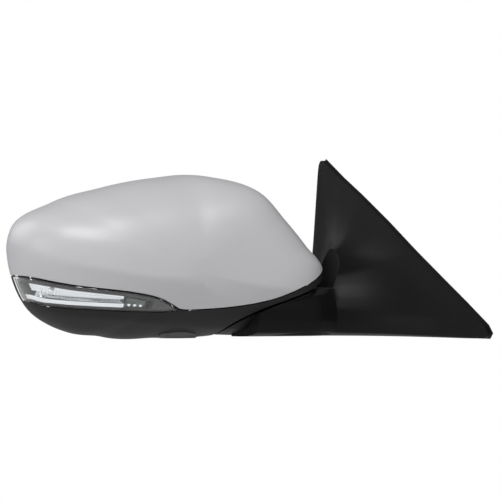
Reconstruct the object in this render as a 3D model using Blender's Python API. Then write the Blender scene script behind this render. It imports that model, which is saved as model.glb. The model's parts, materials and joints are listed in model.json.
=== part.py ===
"""Door mirror of a car, right-hand side: base, folding head, lamp unit and adjustable glass.

Lengths are millimetres until a mesh is made, which is in metres. The base is described by x (+ into
the door), f (forward from the rear corner of the door pad) and h (up from the lowest edge). The head is
described in its own frame, swept back about the fold axis: x outboard is negative, y rearward, h up.
"""

import math

import bmesh
import bpy
from mathutils import Matrix, Vector

MM = 0.001

# Overall sizes
HEAD_REACH = 230.0  # fold axis to outboard end
HEAD_HEIGHT = 128.0
HEAD_DEPTH_FRONT = 80.0  # widest ring to front-most point
HEAD_WIDEST_Y = 28.0
HEAD_RIM_Y = 46.0
HEAD_SWEEP = 16.0  # degrees that the head is swept back
SHELL_WALL = 2.6
SAIL_LENGTH = 231.0
SAIL_HEIGHT = 141.0
ARM_LENGTH = 65.0  # door pad to fold axis
PIVOT_F = 49.0  # fold axis forward of the pad's rear corner
PAD_F = 85.0  # origin forward of the pad's rear corner
PAD_H = 35.0  # origin above the lowest edge
COVER_WALL = 2.8

# Clearances
TOUCH_GAP = 0.4  # between pieces that are fastened together
PANEL_GAP = 0.5  # each side of a line between two visible panels
FOLD_GAP = 1.5  # between head and base along the fold line
RUN_GAP = 0.35  # round a turning shaft or pin

# Fold turret
TURRET_R = 41.0
DISC_TOP_H = 18.0
TURRET_FLOOR_H = 20.0
TURRET_FLOOR = 2.4
TURRET_ROOF_H = 38.0
SHAFT_R = 6.5
SHAFT_BORE_R = 4.0
DRIVE_R = 15.4
DRIVE_WALL = 1.8
DRIVE_FLOOR_H = 22.8
DRIVE_TOP_H = 53.5
SUN_TEETH = 24
PINION_TEETH = 8
GEAR_MODULE = 1.0

# Glass and its drive
GLASS_RADIUS = 1260.0
GLASS_CREST_Y = 37.5
GLASS_THICK = 2.0
HEATER_THICK = 0.5
CARRIER_THICK = 2.2
GLASS_MARGIN = 10.5  # glass edge inside the rim outline
BEZEL_MARGIN = 8.0
GLASS_PIVOT = Vector((-103.0, 22.0, 58.0))
PLUNGER_LEVER = 30.0
PLUNGER_R = 3.0
ACTUATOR_R = 38.0
FRAME_Y = -24.0
FRAME_THICK = 2.5

# Fasteners
STUD_R = 3.0
STUD_REACH = 22.0
SCREW_R = 1.8
PAD_THICK = 9.0

OUTLINE_STEPS = 36
HEAD_CENTRE = (-95.0 / 230.0, 52.0 / 128.0)  # shares of reach and height

# Rear view outline at the widest ring, as shares of reach and height
HEAD_OUTLINE = [
    (-1.000, 0.602), (-0.965, 0.727), (-0.839, 0.836), (-0.652, 0.930), (-0.465, 0.988),
    (-0.278, 1.000), (-0.133, 0.918), (-0.047, 0.742), (0.030, 0.570), (0.091, 0.438),
    (0.087, 0.297), (0.022, 0.109), (-0.109, 0.023), (-0.278, 0.000), (-0.465, -0.011),
    (-0.652, 0.000), (-0.765, 0.023), (-0.848, 0.078), (-0.909, 0.148), (-0.948, 0.234),
    (-0.978, 0.352), (-0.996, 0.469),
]
# Lower edge of the painted cap, outboard to inboard, as shares of reach and height
CAP_EDGE = [
    (-1.150, 0.420), (-0.969, 0.385), (-0.904, 0.353), (-0.835, 0.328), (-0.735, 0.306),
    (-0.652, 0.290), (-0.578, 0.266), (-0.530, 0.240), (-0.491, 0.205), (-0.457, 0.172),
    (-0.390, 0.174), (-0.300, 0.184), (-0.207, 0.205), (-0.126, 0.237), (-0.057, 0.285),
    (0.022, 0.348), (0.061, 0.398), (0.096, 0.453), (0.170, 0.570),
]
# Lower edge of the lamp lens, inboard to outboard
LENS_EDGE = [
    (-0.500, 0.157), (-0.617, 0.162), (-0.726, 0.170), (-0.837, 0.182), (-0.909, 0.197),
    (-0.946, 0.228), (-1.150, 0.240),
]
LENS_END_Y = 24.0
# Line between base and head, as (x, h) in millimetres about the fold axis
FOLD_LINE = [(-64, -6), (-62, 6), (-51, 14.5), (-30, 24), (-5, 32.5), (12, 40), (24, 50), (34, 59)]

# Door-side outline of the base as (f, h) shares, and the arm's section in millimetres, point for point
SAIL_OUTLINE = [
    (0.000, 0.000), (0.012, 0.250), (0.035, 0.530), (0.062, 0.965), (0.080, 1.000), (0.182, 0.894),
    (0.281, 0.801), (0.429, 0.652), (0.580, 0.489), (0.732, 0.333), (0.857, 0.206), (0.978, 0.078),
    (1.000, 0.032), (0.985, 0.000), (0.650, 0.000), (0.325, 0.000),
]
ARM_SECTION = [
    (15, 1), (14, 9), (15, 18), (30, 20), (44, 40), (52, 58), (60, 61), (71, 56),
    (81, 48), (88, 40), (92, 32), (95, 22), (95, 12), (92, 3), (75, 0), (40, 0),
]
# How far the base has changed from sail to arm at each distance from the door
BASE_FLARE = [
    (-1.5, 0.0), (-6.0, 0.0), (-9.0, 0.16), (-15.0, 0.42), (-24.0, 0.66), (-36.0, 0.86), (-50.0, 1.0), (-66.0, 1.0),
]
REAR_HASTE = 3.0  # the rear edge narrows sooner, to let the folded head past
TOP_HASTE = 1.8  # and so does the ridge over the arm

EAR_NEAR, EAR_FAR = 16.5, 21.5  # gimbal ears, measured from the glass pivot
RING_OUTER, RING_INNER, RING_HALF = 14.8, 11.0, 2.5


# ---------------------------------------------------------------- scene and materials
for old in list(bpy.data.objects):
    bpy.data.objects.remove(old, do_unlink=True)

PIVOT = Vector((-ARM_LENGTH, PAD_F - PIVOT_F, -PAD_H))


def material(name, colour, roughness, metallic=0.0, transmission=0.0):
    """A Principled material, made once."""
    found = bpy.data.materials.get(name)
    if found:
        return found
    made = bpy.data.materials.new(name)
    made.use_nodes = True
    shader = made.node_tree.nodes["Principled BSDF"]
    shader.inputs["Base Color"].default_value = (*colour, 1.0)
    shader.inputs["Roughness"].default_value = roughness
    shader.inputs["Metallic"].default_value = metallic
    shader.inputs["Transmission Weight"].default_value = transmission
    return made


PRIMER = material("primer_grey", (0.50, 0.50, 0.52), 0.40)
BLACK = material("black_plastic", (0.012, 0.012, 0.013), 0.55)
DARK = material("dark_plastic", (0.02, 0.02, 0.022), 0.45)
WHITE = material("drive_plastic", (0.62, 0.62, 0.58), 0.45)
CLEAR = material("clear_lens", (0.95, 0.96, 0.97), 0.05, 0.0, 0.9)
CHROME = material("chrome_reflector", (0.85, 0.86, 0.88), 0.08, 1.0)
MIRROR = material("mirror_glass", (0.80, 0.84, 0.86), 0.02, 1.0)
ALLOY = material("cast_alloy", (0.48, 0.49, 0.50), 0.45, 1.0)
STEEL = material("zinc_steel", (0.60, 0.61, 0.62), 0.30, 1.0)
RUBBER = material("rubber", (0.015, 0.015, 0.015), 0.85)
BRASS = material("brass", (0.62, 0.44, 0.18), 0.35, 1.0)
GREEN = material("circuit_board", (0.03, 0.16, 0.08), 0.5)


def frame_empty(name, place, turn=0.0):
    """An empty that carries the pieces of one body, in metres."""
    empty = bpy.data.objects.new(name, None)
    empty.location = place * MM
    empty.rotation_euler = (0.0, 0.0, math.radians(turn))
    bpy.context.scene.collection.objects.link(empty)
    return empty


BASE = frame_empty("base_frame", Vector((0.0, 0.0, -PAD_H)))
FIXED = frame_empty("fold_axis_fixed", PIVOT, -HEAD_SWEEP)
HEAD = frame_empty("fold_axis", PIVOT, -HEAD_SWEEP)


# ---------------------------------------------------------------- mesh tools
def new_object(name, points, faces, finish=None, parent=None):
    """A closed mesh from points in millimetres, facing out."""
    mesh = bpy.data.meshes.new(name)
    shape = bmesh.new()
    made = [shape.verts.new(Vector(point) * MM) for point in points]
    for face in faces:
        shape.faces.new([made[i] for i in face])
    bmesh.ops.recalc_face_normals(shape, faces=shape.faces)
    shape.to_mesh(mesh)
    shape.free()
    obj = bpy.data.objects.new(name, mesh)
    bpy.context.scene.collection.objects.link(obj)
    if finish:
        mesh.materials.append(finish)
    if parent:
        obj.parent = parent
    return obj


def loft(name, rings, tip=None, **more):
    """Rings of equal length joined in order, the ends closed, the last one on a tip if there is one."""
    count = len(rings[0])
    points = [point for ring in rings for point in ring]
    faces = [list(range(count))]
    for level in range(len(rings) - 1):
        for i in range(count):
            j = (i + 1) % count
            a, b = level * count, (level + 1) * count
            faces.append([a + i, a + j, b + j, b + i])
    last = (len(rings) - 1) * count
    if tip is None:
        faces.append(list(range(last, last + count)))
    else:
        points.append(tip)
        faces += [[last + i, last + (i + 1) % count, len(points) - 1] for i in range(count)]
    return new_object(name, points, faces, **more)


def prism(name, outline, low, high, axis="z", **more):
    """An outline drawn out along one axis. Its pairs are the two other axes in order."""
    place = {"x": lambda a, b, t: (t, a, b), "y": lambda a, b, t: (a, t, b), "z": lambda a, b, t: (a, b, t)}[axis]
    return loft(name, [[place(a, b, t) for a, b in outline] for t in (low, high)], **more)


def circle(radius, steps=16, centre=(0.0, 0.0), turn=0.0):
    angles = [turn + 2 * math.pi * i / steps for i in range(steps)]
    return [(centre[0] + radius * math.cos(a), centre[1] + radius * math.sin(a)) for a in angles]


def rod(name, radius, low, high, centre=(0.0, 0.0), axis="z", steps=16, **more):
    return prism(name, circle(radius, steps, centre), low, high, axis, **more)


def block(name, low, high, **more):
    outline = [(low[0], low[1]), (high[0], low[1]), (high[0], high[1]), (low[0], high[1])]
    return prism(name, outline, low[2], high[2], **more)


def turned(name, profile, centre=(0.0, 0.0, 0.0), axis="z", steps=16, **more):
    """A closed (radius, along) profile turned about an axis through centre. Radius 0 points are poles."""
    places = {
        "x": lambda r, a, t: (t, r * math.cos(a), r * math.sin(a)),
        "y": lambda r, a, t: (r * math.cos(a), t, r * math.sin(a)),
        "z": lambda r, a, t: (r * math.cos(a), r * math.sin(a), t),
    }
    points, rows = [], []
    for radius, along in profile:
        count = 1 if radius == 0 else steps
        rows.append([len(points) + i % count for i in range(steps)])
        for i in range(count):
            spot = places[axis](radius, 2 * math.pi * i / steps, along)
            points.append(Vector(spot) + Vector(centre))
    faces = []
    for first, second in zip(rows, rows[1:] + rows[:1]):
        for i in range(steps):
            j = (i + 1) % steps
            corners = list(dict.fromkeys([first[i], first[j], second[j], second[i]]))
            if len(corners) > 2:
                faces.append(corners)
    return new_object(name, points, faces, **more)


def ring(name, inner, outer, low, high, **more):
    return turned(name, [(inner, low), (outer, low), (outer, high), (inner, high)], **more)


def combine(obj, other, operation):
    """Applies one Boolean and removes the other object. The manifold solver holds where shells cross at flat angles."""
    modifier = obj.modifiers.new("combine", "BOOLEAN")
    modifier.operation = operation
    modifier.solver = "MANIFOLD"
    modifier.object = other
    bpy.context.view_layer.update()
    result = bpy.data.meshes.new_from_object(obj.evaluated_get(bpy.context.evaluated_depsgraph_get()))
    obj.modifiers.clear()
    result.name = obj.name
    obj.data = result
    bpy.data.objects.remove(other, do_unlink=True)
    return obj


def cut(obj, *others):
    for other in others:
        combine(obj, other, "DIFFERENCE")
    return obj


def join(obj, *others):
    for other in others:
        combine(obj, other, "UNION")
    return obj


def keep_inside(obj, other):
    return combine(obj, other, "INTERSECT")


def finish(obj, finish_material, parent, angle=35.0):
    """Gives a worked piece its one material, its carrier and smooth shading up to an angle."""
    obj.data.materials.clear()
    obj.data.materials.append(finish_material)
    for polygon in obj.data.polygons:
        polygon.material_index = 0
    obj.parent = parent
    obj.data.shade_smooth()
    obj.data.set_sharp_from_angle(angle=math.radians(angle))
    return obj


def inset(outline, distance):
    """A closed outline with every edge moved inwards by a distance, corners mitred."""
    count = len(outline)
    area = sum(a[0] * b[1] - b[0] * a[1] for a, b in zip(outline, outline[1:] + outline[:1]))
    side = 1.0 if area > 0 else -1.0
    moved = []
    for i in range(count):
        before, here, after = (Vector(outline[(i + k) % count]) for k in (-1, 0, 1))
        first, second = (here - before).normalized(), (after - here).normalized()
        normal = (Vector((-first.y, first.x)) + Vector((-second.y, second.x))).normalized() * side
        stretch = max(0.5, normal.dot(Vector((-first.y, first.x)) * side))
        moved.append(tuple(here + normal * distance / stretch))
    return moved


def gear_outline(teeth, module, turn=0.0):
    """Straight-sided teeth, narrow enough to run free of their mate."""
    root, tip = module * (teeth / 2 - 1.15), module * (teeth / 2 + 0.75)
    outline = []
    for tooth in range(teeth):
        for share, radius in ((-0.19, root), (-0.12, tip), (0.12, tip), (0.19, root)):
            angle = turn + 2 * math.pi * (tooth + share) / teeth
            outline.append((radius * math.cos(angle), radius * math.sin(angle)))
    return outline


# ---------------------------------------------------------------- head envelope
CENTRE_X, CENTRE_H = HEAD_CENTRE[0] * HEAD_REACH, HEAD_CENTRE[1] * HEAD_HEIGHT


def scaled(shares):
    return [(x * HEAD_REACH, h * HEAD_HEIGHT) for x, h in shares]


def polar_outline():
    polar = []
    for x, h in scaled(HEAD_OUTLINE):
        dx, dh = x - CENTRE_X, h - CENTRE_H
        polar.append((math.atan2(dh, dx), math.hypot(dx, dh)))
    polar.sort()
    return polar


POLAR = polar_outline()


def outline_radius(angle):
    """Distance from the centre to the outline, by a cubic through the outline's points."""
    count = len(POLAR)
    turn = 2 * math.pi

    def knot(i):
        lap, index = divmod(i, count)
        return POLAR[index][0] + lap * turn, POLAR[index][1]

    while angle < POLAR[0][0]:
        angle += turn
    i = max(k for k in range(count) if POLAR[k][0] <= angle)
    (a0, r0), (a1, r1), (a2, r2), (a3, r3) = (knot(i + k) for k in (-1, 0, 1, 2))
    span = a2 - a1
    slope1, slope2 = (r2 - r0) / (a2 - a0) * span, (r3 - r1) / (a3 - a1) * span
    s = (angle - a1) / span
    return (
        (2 * s**3 - 3 * s**2 + 1) * r1
        + (s**3 - 2 * s**2 + s) * slope1
        + (3 * s**2 - 2 * s**3) * r2
        + (s**3 - s**2) * slope2
    )


def fullness(angle):
    """Exponent of the front's curve: blunt towards the door, rounder elsewhere."""
    return 2.6 + 3.4 * max(0.0, math.cos(angle)) ** 2 + 0.5 * max(0.0, -math.sin(angle))


RIM_SHRINK = 0.06


def head_ring(y, offset):
    """The envelope's ring at depth y, moved in by offset."""
    points = []
    depth = HEAD_DEPTH_FRONT - offset
    for i in range(OUTLINE_STEPS):
        angle = -math.pi + 2 * math.pi * i / OUTLINE_STEPS
        radius = outline_radius(angle)
        if y >= HEAD_WIDEST_Y:
            share = min(1.0, (y - HEAD_WIDEST_Y) / (HEAD_RIM_Y - HEAD_WIDEST_Y))
            radius = radius * (1 - RIM_SHRINK * share) - offset
        else:
            power = fullness(angle)
            deep = (HEAD_WIDEST_Y - y) / depth
            radius = (radius - offset) * max(0.0, 1 - deep**power) ** (1 / power)
        points.append((CENTRE_X + radius * math.cos(angle), y, CENTRE_H + radius * math.sin(angle)))
    return points


RING_DEPTHS = (0.0, 0.35, 0.60, 0.79, 0.91, 0.975)


def envelope(name, offset=0.0, back=HEAD_RIM_Y):
    depth = HEAD_DEPTH_FRONT - offset
    rings = [head_ring(back, offset)]
    if back > HEAD_RIM_Y:
        rings.append(head_ring(HEAD_RIM_Y, offset))
    rings += [head_ring(HEAD_WIDEST_Y - depth * share, offset) for share in RING_DEPTHS]
    return loft(name, rings, tip=(CENTRE_X, HEAD_WIDEST_Y - depth, CENTRE_H))


def end_trim(name, radius, rear):
    """Plan shape that keeps the head's rear inboard corner inside the turret's sweep."""
    corner = Vector((-45.0, rear))
    touch = math.atan2(corner.y, corner.x) - math.acos(radius / corner.length)
    arc = [touch * (1 - i / 6) for i in range(7)]
    outline = [(-HEAD_REACH * 1.3, rear), tuple(corner)]
    outline += [(radius * math.cos(a), radius * math.sin(a)) for a in arc]
    outline += [(radius, -HEAD_DEPTH_FRONT), (-HEAD_REACH * 1.3, -HEAD_DEPTH_FRONT)]
    return prism(name, outline, -40, HEAD_HEIGHT + 60)


TRIM_REAR_Y = HEAD_RIM_Y + 1.0


def head_shell(name):
    shell = cut(envelope(name), envelope("hollow", SHELL_WALL, HEAD_RIM_Y + 15))
    return keep_inside(shell, end_trim("trim", TURRET_R, TRIM_REAR_Y))


def panel_region(name, edge, above, gap, low=-90.0, high=90.0):
    """Everything above or below a line in the rear view, kept back from it by a gap."""
    shift = gap if above else -gap
    far = HEAD_HEIGHT + 80 if above else -60.0
    line = [(x, h + shift) for x, h in edge]
    return prism(name, line + [(line[-1][0], far), (line[0][0], far)], low, high, "y")


def below_fold_line(name, drop, reach=0.0):
    line = [(x + reach, h - drop) for x, h in FOLD_LINE]
    end = 120.0
    return prism(name, line + [(end, line[-1][1]), (end, -60), (line[0][0], -60)], -120, 120, "y")


cap_line = scaled(CAP_EDGE)
lens_line = scaled(LENS_EDGE)


def lens_outline():
    """The lamp lens between the cap's edge and its own lower edge."""
    upper = [point for point in cap_line if point[0] < lens_line[0][0]]
    return upper + lens_line


def lens_region(name, gap, end_y):
    return prism(name, inset(lens_outline(), gap), -90, end_y, "y")


# ---------------------------------------------------------------- upper cap and lower housing
upper_cap = keep_inside(head_shell("upper_cap"), panel_region("region", cap_line, True, PANEL_GAP))
cut(upper_cap, below_fold_line("fold_cut", -FOLD_GAP - 0.5, -1.0))
finish(upper_cap, PRIMER, HEAD)

lower_housing = keep_inside(head_shell("lower_housing"), panel_region("region", cap_line, False, PANEL_GAP))
cut(lower_housing, lens_region("lens_hole", 0.0, LENS_END_Y + PANEL_GAP))
cut(lower_housing, below_fold_line("fold_cut", -FOLD_GAP, -1.0))


def fold_web(name):
    """Slanted floor that closes the head along the fold line."""
    low = [(x - 1.0, h + FOLD_GAP) for x, h in FOLD_LINE[:-1]]
    high = [(x - 2.6, h + 2.4) for x, h in low]
    web = prism(name, low + high[::-1], -100, 100, "y")
    keep_inside(web, envelope("web_limit", SHELL_WALL / 2))
    keep_inside(web, panel_region("web_region", cap_line, False, PANEL_GAP))
    keep_inside(web, end_trim("web_trim", TURRET_R - 0.5, TRIM_REAR_Y - 1))
    return cut(web, rod("web_bore", TURRET_R - SHELL_WALL, -60, 200, steps=40))


def turret(name):
    """Round skirt and roof that turn inside the base's scoop, with the floor under the drive."""
    outer = rod(name, TURRET_R, TURRET_FLOOR_H, TURRET_ROOF_H, steps=40)
    inner_r = TURRET_R - SHELL_WALL
    cut(outer, rod("cup", inner_r, TURRET_FLOOR_H + TURRET_FLOOR, TURRET_ROOF_H - TURRET_FLOOR, steps=40))
    hollow = envelope("turret_hollow", SHELL_WALL, HEAD_RIM_Y + 15)
    floor_top = TURRET_FLOOR_H + TURRET_FLOOR + 1.5
    keep_inside(hollow, block("upper_part", (-300, -100, floor_top), (100, 100, 300)))
    cut(outer, hollow)
    return cut(outer, rod("floor_hole", 13.0, 0, TURRET_FLOOR_H + TURRET_FLOOR + 1))


join(lower_housing, fold_web("web"))
join(lower_housing, turret("turret"))
PUDDLE_AT = (-93.0 / 230.0 * HEAD_REACH, 4.0)


def oval(half_length, half_width, centre, steps=28):
    return [(centre[0] + half_length * x, centre[1] + half_width * y) for x, y in circle(1.0, steps)]


cut(lower_housing, prism("puddle_hole", oval(16.5, 10.5, PUDDLE_AT), -20, 12))
finish(lower_housing, BLACK, HEAD)


# ---------------------------------------------------------------- base cover
def base_point(x, f, h):
    return (x, PAD_F - f, h)


def base_section(flare, wall):
    """The base's outline between the door and the arm, inside by a wall."""
    sail = inset([(f * SAIL_LENGTH, h * SAIL_HEIGHT) for f, h in SAIL_OUTLINE], wall)
    reach = PIVOT_F - 49.0
    arm = inset([(f + reach, h) for f, h in ARM_SECTION], wall)
    section = []
    for index, (a, b) in enumerate(zip(sail, arm)):
        haste = REAR_HASTE if 0 < index < 4 else TOP_HASTE if 3 < index < 8 else 1.0
        share = 1 - (1 - flare) ** haste
        section.append((a[0] + (b[0] - a[0]) * share, a[1] + (b[1] - a[1]) * share))
    return section


def base_loft(name, wall=0.0, mouth=0.0):
    """Sail and arm in one. A hollow one reaches past the door side by its mouth."""
    stations = [(x * ARM_LENGTH / 65.0 if x < -10 else x, flare) for x, flare in BASE_FLARE]
    if mouth:
        stations = [(mouth, 0.0)] + [(x, flare) for x, flare in stations if x < -7 or x > -2]
        stations[-1] = (stations[-1][0] + wall, 1.0)
    rings = [[base_point(x, f, h) for f, h in base_section(flare, wall)] for x, flare in stations]
    return loft(name, rings)


def turret_rod(name, radius, low, high, steps=40):
    """A round solid on the fold axis, placed in the base's frame."""
    made = rod(name, radius, low, high, steps=steps)
    made.data.transform(Matrix.Translation((PIVOT.x * MM, PIVOT.y * MM, 0.0)))
    return made


def from_head(obj):
    """Turns a shape made in the head's frame into the base's frame."""
    place = Matrix.Translation((PIVOT.x * MM, PIVOT.y * MM, 0.0))
    obj.data.transform(place @ Matrix.Rotation(math.radians(-HEAD_SWEEP), 4, "Z"))
    return obj


def nose(name, wall, ceiling):
    """Front of the base under the head: the head's own envelope, below the fold line."""
    made = envelope(name, wall)
    keep_inside(made, below_fold_line("nose_limit", wall * 1.1, wall))
    behind = block("behind", (-200, 0, -50), (200, 200, 200))
    combine(made, cut(behind, rod("disc_keep", TURRET_R, -60, 220, steps=40)), "DIFFERENCE")
    if ceiling:
        keep_inside(made, block("ceiling", (-300, -200, -50), (300, 200, ceiling)))
    return from_head(made)


SOCKET_R = TURRET_R + FOLD_GAP
DISC_LOW_H = 0.5
base_cover = base_loft("base_cover")
combine(base_cover, nose("nose", 0.0, 0.0), "UNION")
disc_r = SOCKET_R - 0.6
disc_profile = [
    (0, DISC_LOW_H), (disc_r - 5, DISC_LOW_H), (disc_r - 1.2, 2.0), (disc_r, 5.5),
    (disc_r, DISC_TOP_H + 3), (0, DISC_TOP_H + 3),
]
disc = turned("disc", disc_profile, (PIVOT.x, PIVOT.y, 0.0), steps=40)
combine(base_cover, disc, "UNION")
combine(base_cover, turret_rod("scoop", SOCKET_R, DISC_TOP_H, 200), "DIFFERENCE")

cavity = base_loft("cavity", COVER_WALL, 5.0)
disc_hollow = turret_rod("disc_hollow", disc_r - COVER_WALL, DISC_LOW_H + COVER_WALL, DISC_TOP_H)
combine(cavity, disc_hollow, "UNION")
deck = turret_rod("deck_keep", SOCKET_R + COVER_WALL, DISC_TOP_H - COVER_WALL, 220)
combine(cavity, deck, "DIFFERENCE")
combine(base_cover, cavity, "DIFFERENCE")

BOSS_R = 12.0
cut(base_cover, turret_rod("boss_hole", BOSS_R + 0.6, 8, DISC_TOP_H + 4))
UNDER_SCREWS = [(PIVOT.x - 20, PIVOT.y), (PIVOT.x + 20, PIVOT.y)]
UNDER_HEAD_R, UNDER_HEAD_TOP = 4.0, 1.9
for x, y in UNDER_SCREWS:
    cut(base_cover, rod("seat", UNDER_HEAD_R + RUN_GAP, -2, UNDER_HEAD_TOP + RUN_GAP, (x, y)))
    cut(base_cover, rod("clear", SCREW_R + RUN_GAP, -2, 6, (x, y)))
finish(base_cover, BLACK, BASE, 40.0)


# ---------------------------------------------------------------- bracket, shaft and door fixings
STUDS = [(30.0, 23.0), (42.0, 72.0), (165.0, 16.0)]
LOCATOR = (104.0, 44.0)
GROMMET = (58.0, 26.0)
GROMMET_R, GROMMET_BORE_R = 12.0, 6.0
PAD_OUTLINE = [
    (19, 7), (27, 66), (36, 88), (46, 86), (100, 60), (150, 37), (188, 18), (188, 7),
]
BRACKET_LOW_H = DISC_LOW_H + COVER_WALL + TOUCH_GAP
BRACKET_TOP_H = 13.6


def pad_pair(f, h):
    """(y, h) of a place on the door pad."""
    return (PAD_F - f, h)


base_bracket = prism("base_bracket", [pad_pair(f, h) for f, h in PAD_OUTLINE], -PAD_THICK, 0.0, "x")
beam = [(-ARM_LENGTH, PIVOT.y - 15), (-3, PIVOT.y - 24), (-3, PIVOT.y + 20), (-ARM_LENGTH, PIVOT.y + 15)]
join(base_bracket, prism("beam", beam, BRACKET_LOW_H + 3.5, BRACKET_TOP_H - 0.3))
join(base_bracket, turret_rod("foot", 32.0, BRACKET_LOW_H, BRACKET_TOP_H))
join(base_bracket, turret_rod("boss", BOSS_R, 8, 16.0, 20))
cut(base_bracket, turret_rod("shaft_bore", SHAFT_R + RUN_GAP, -5, 40, 20))
for f, h in STUDS:
    cut(base_bracket, rod("stud_hole", STUD_R + RUN_GAP, -40, 40, pad_pair(f, h), "x"))
cut(base_bracket, rod("locator_hole", 4.0 + RUN_GAP, -40, 40, pad_pair(*LOCATOR), "x"))
cut(base_bracket, rod("grommet_hole", GROMMET_R - 2.0, -40, 40, pad_pair(*GROMMET), "x"))
for x, y in UNDER_SCREWS:
    cut(base_bracket, rod("screw_hole", SCREW_R + RUN_GAP, -5, 40, (x, y)))
window = [(112, 14), (140, 14), (140, 24), (112, 38)]
cut(base_bracket, prism("window", [pad_pair(f, h) for f, h in window], -40, 40, "x"))
finish(base_bracket, ALLOY, BASE)

shaft_profile = [
    (SHAFT_BORE_R, 4.8), (SHAFT_R, 4.8), (SHAFT_R, 51.6), (SHAFT_R - 0.9, 52.5), (SHAFT_BORE_R, 52.5),
]
finish(turned("pivot_shaft", shaft_profile, steps=20), STEEL, FIXED)
finish(ring("thrust_washer", SHAFT_R + RUN_GAP, 12.0, 16.4, 17.4, steps=20), BRASS, FIXED)

DETENT_LOW_H, DETENT_TOP_H = 17.8, 22.3
detent_ring = ring("detent_ring", SHAFT_R + RUN_GAP, 11.6, DETENT_LOW_H, DETENT_TOP_H, steps=40)
for lobe in range(3):
    angle = 2 * math.pi * lobe / 3
    notch = rod("notch", 1.4, 4, 20, (0.0, DETENT_TOP_H), "x", 12)
    notch.data.transform(Matrix.Rotation(angle, 4, "Z"))
    cut(detent_ring, notch)
finish(detent_ring, STEEL, FIXED)

SUN_LOW_H, SUN_TOP_H = 26.6, 31.2
half_tooth = math.pi / SUN_TEETH
clutch_gear = prism("clutch_gear", gear_outline(SUN_TEETH, GEAR_MODULE, half_tooth), SUN_LOW_H, SUN_TOP_H)
finish(cut(clutch_gear, rod("gear_bore", SHAFT_R + RUN_GAP, 20, 40, steps=20)), STEEL, FIXED)

SPRING_LOW_H, SPRING_TOP_H, SPRING_R, SPRING_WIRE_R, SPRING_TURNS = 33.2, 46.8, 8.9, 0.9, 4.5


def coil(name, radius, wire, low, high, turns, steps=12):
    """A compression spring as a bevelled curve with flat filled ends."""
    data = bpy.data.curves.new(name, "CURVE")
    data.dimensions = "3D"
    data.bevel_depth = wire * MM
    data.bevel_resolution = 1
    data.use_fill_caps = True
    line = data.splines.new("POLY")
    count = int(turns * steps) + 1
    line.points.add(count - 1)
    for i, point in enumerate(line.points):
        angle = 2 * math.pi * i / steps
        height = low + (high - low) * i / (count - 1)
        point.co = (radius * math.cos(angle) * MM, radius * math.sin(angle) * MM, height * MM, 1.0)
    obj = bpy.data.objects.new(name, data)
    bpy.context.scene.collection.objects.link(obj)
    return obj


fold_spring = coil("fold_spring", SPRING_R, SPRING_WIRE_R, SPRING_LOW_H, SPRING_TOP_H, SPRING_TURNS)
fold_spring.data.materials.append(STEEL)
fold_spring.parent = FIXED

spring_clip = ring("spring_clip", SHAFT_R + RUN_GAP, 10.2, 48.8, 50.2, steps=20)
finish(cut(spring_clip, block("clip_mouth", (0, -2.2, 40), (20, 2.2, 60))), STEEL, FIXED)

sail_edge = [pad_pair(f * SAIL_LENGTH, h * SAIL_HEIGHT) for f, h in SAIL_OUTLINE]
door_gasket = prism("door_gasket", sail_edge, -1.1, -0.1, "x")
gasket_hole = inset(sail_edge, COVER_WALL)
finish(cut(door_gasket, prism("gasket_hole", gasket_hole, -9, 9, "x")), RUBBER, BASE)

for number, (f, h) in enumerate(STUDS, 1):
    y, h = pad_pair(f, h)
    head_x = -PAD_THICK - TOUCH_GAP
    profile = [
        (0, head_x - 2.6), (6.0, head_x - 2.6), (6.0, head_x), (STUD_R, head_x),
        (STUD_R, STUD_REACH - 1.2), (STUD_R - 1.2, STUD_REACH), (0, STUD_REACH),
    ]
    finish(turned(f"door_stud_{number}", profile, (0.0, y, h), "x", 12), STEEL, BASE)

y, h = pad_pair(*LOCATOR)
locator_profile = [
    (0, -PAD_THICK - 3.0), (6.4, -PAD_THICK - 3.0), (6.4, -PAD_THICK - TOUCH_GAP), (4.0, -PAD_THICK - TOUCH_GAP),
    (4.0, 7.0), (1.8, 12.0), (0, 12.0),
]
finish(turned("locating_pin", locator_profile, (0.0, y, h), "x", 12), BLACK, BASE)

y, h = pad_pair(*GROMMET)
groove_r = GROMMET_R - 2.0 - RUN_GAP
grommet_profile = [
    (GROMMET_BORE_R, -PAD_THICK - 2.6), (GROMMET_R, -PAD_THICK - 2.6), (GROMMET_R, -PAD_THICK - TOUCH_GAP),
    (groove_r, -PAD_THICK - TOUCH_GAP), (groove_r, -0.3), (GROMMET_BORE_R, -0.3),
]
finish(turned("harness_grommet", grommet_profile, (0.0, y, h), "x", 16), RUBBER, BASE)

for number, (x, y) in enumerate(UNDER_SCREWS, 1):
    profile = [
        (0, 0.6), (UNDER_HEAD_R, 0.6), (UNDER_HEAD_R, UNDER_HEAD_TOP), (SCREW_R, UNDER_HEAD_TOP),
        (SCREW_R, 11.0), (SCREW_R - 0.8, 12.4), (0, 12.4),
    ]
    finish(turned(f"cover_screw_{number}", profile, (x, y, 0.0), "z", 10), STEEL, BASE)


# ---------------------------------------------------------------- fold drive in the head
DRIVE_OFFSET = GEAR_MODULE * (SUN_TEETH + PINION_TEETH) / 2


def stadium(radius, offset, steps=12):
    """Plan of the drive: round about the fold axis and about its motor."""
    turns = [math.pi * (i / steps - 0.5) for i in range(steps + 1)]
    right = [(radius * math.cos(a), radius * math.sin(a)) for a in turns]
    left = [(x * -1 - offset, -y) for x, y in right]
    return right + left


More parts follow.
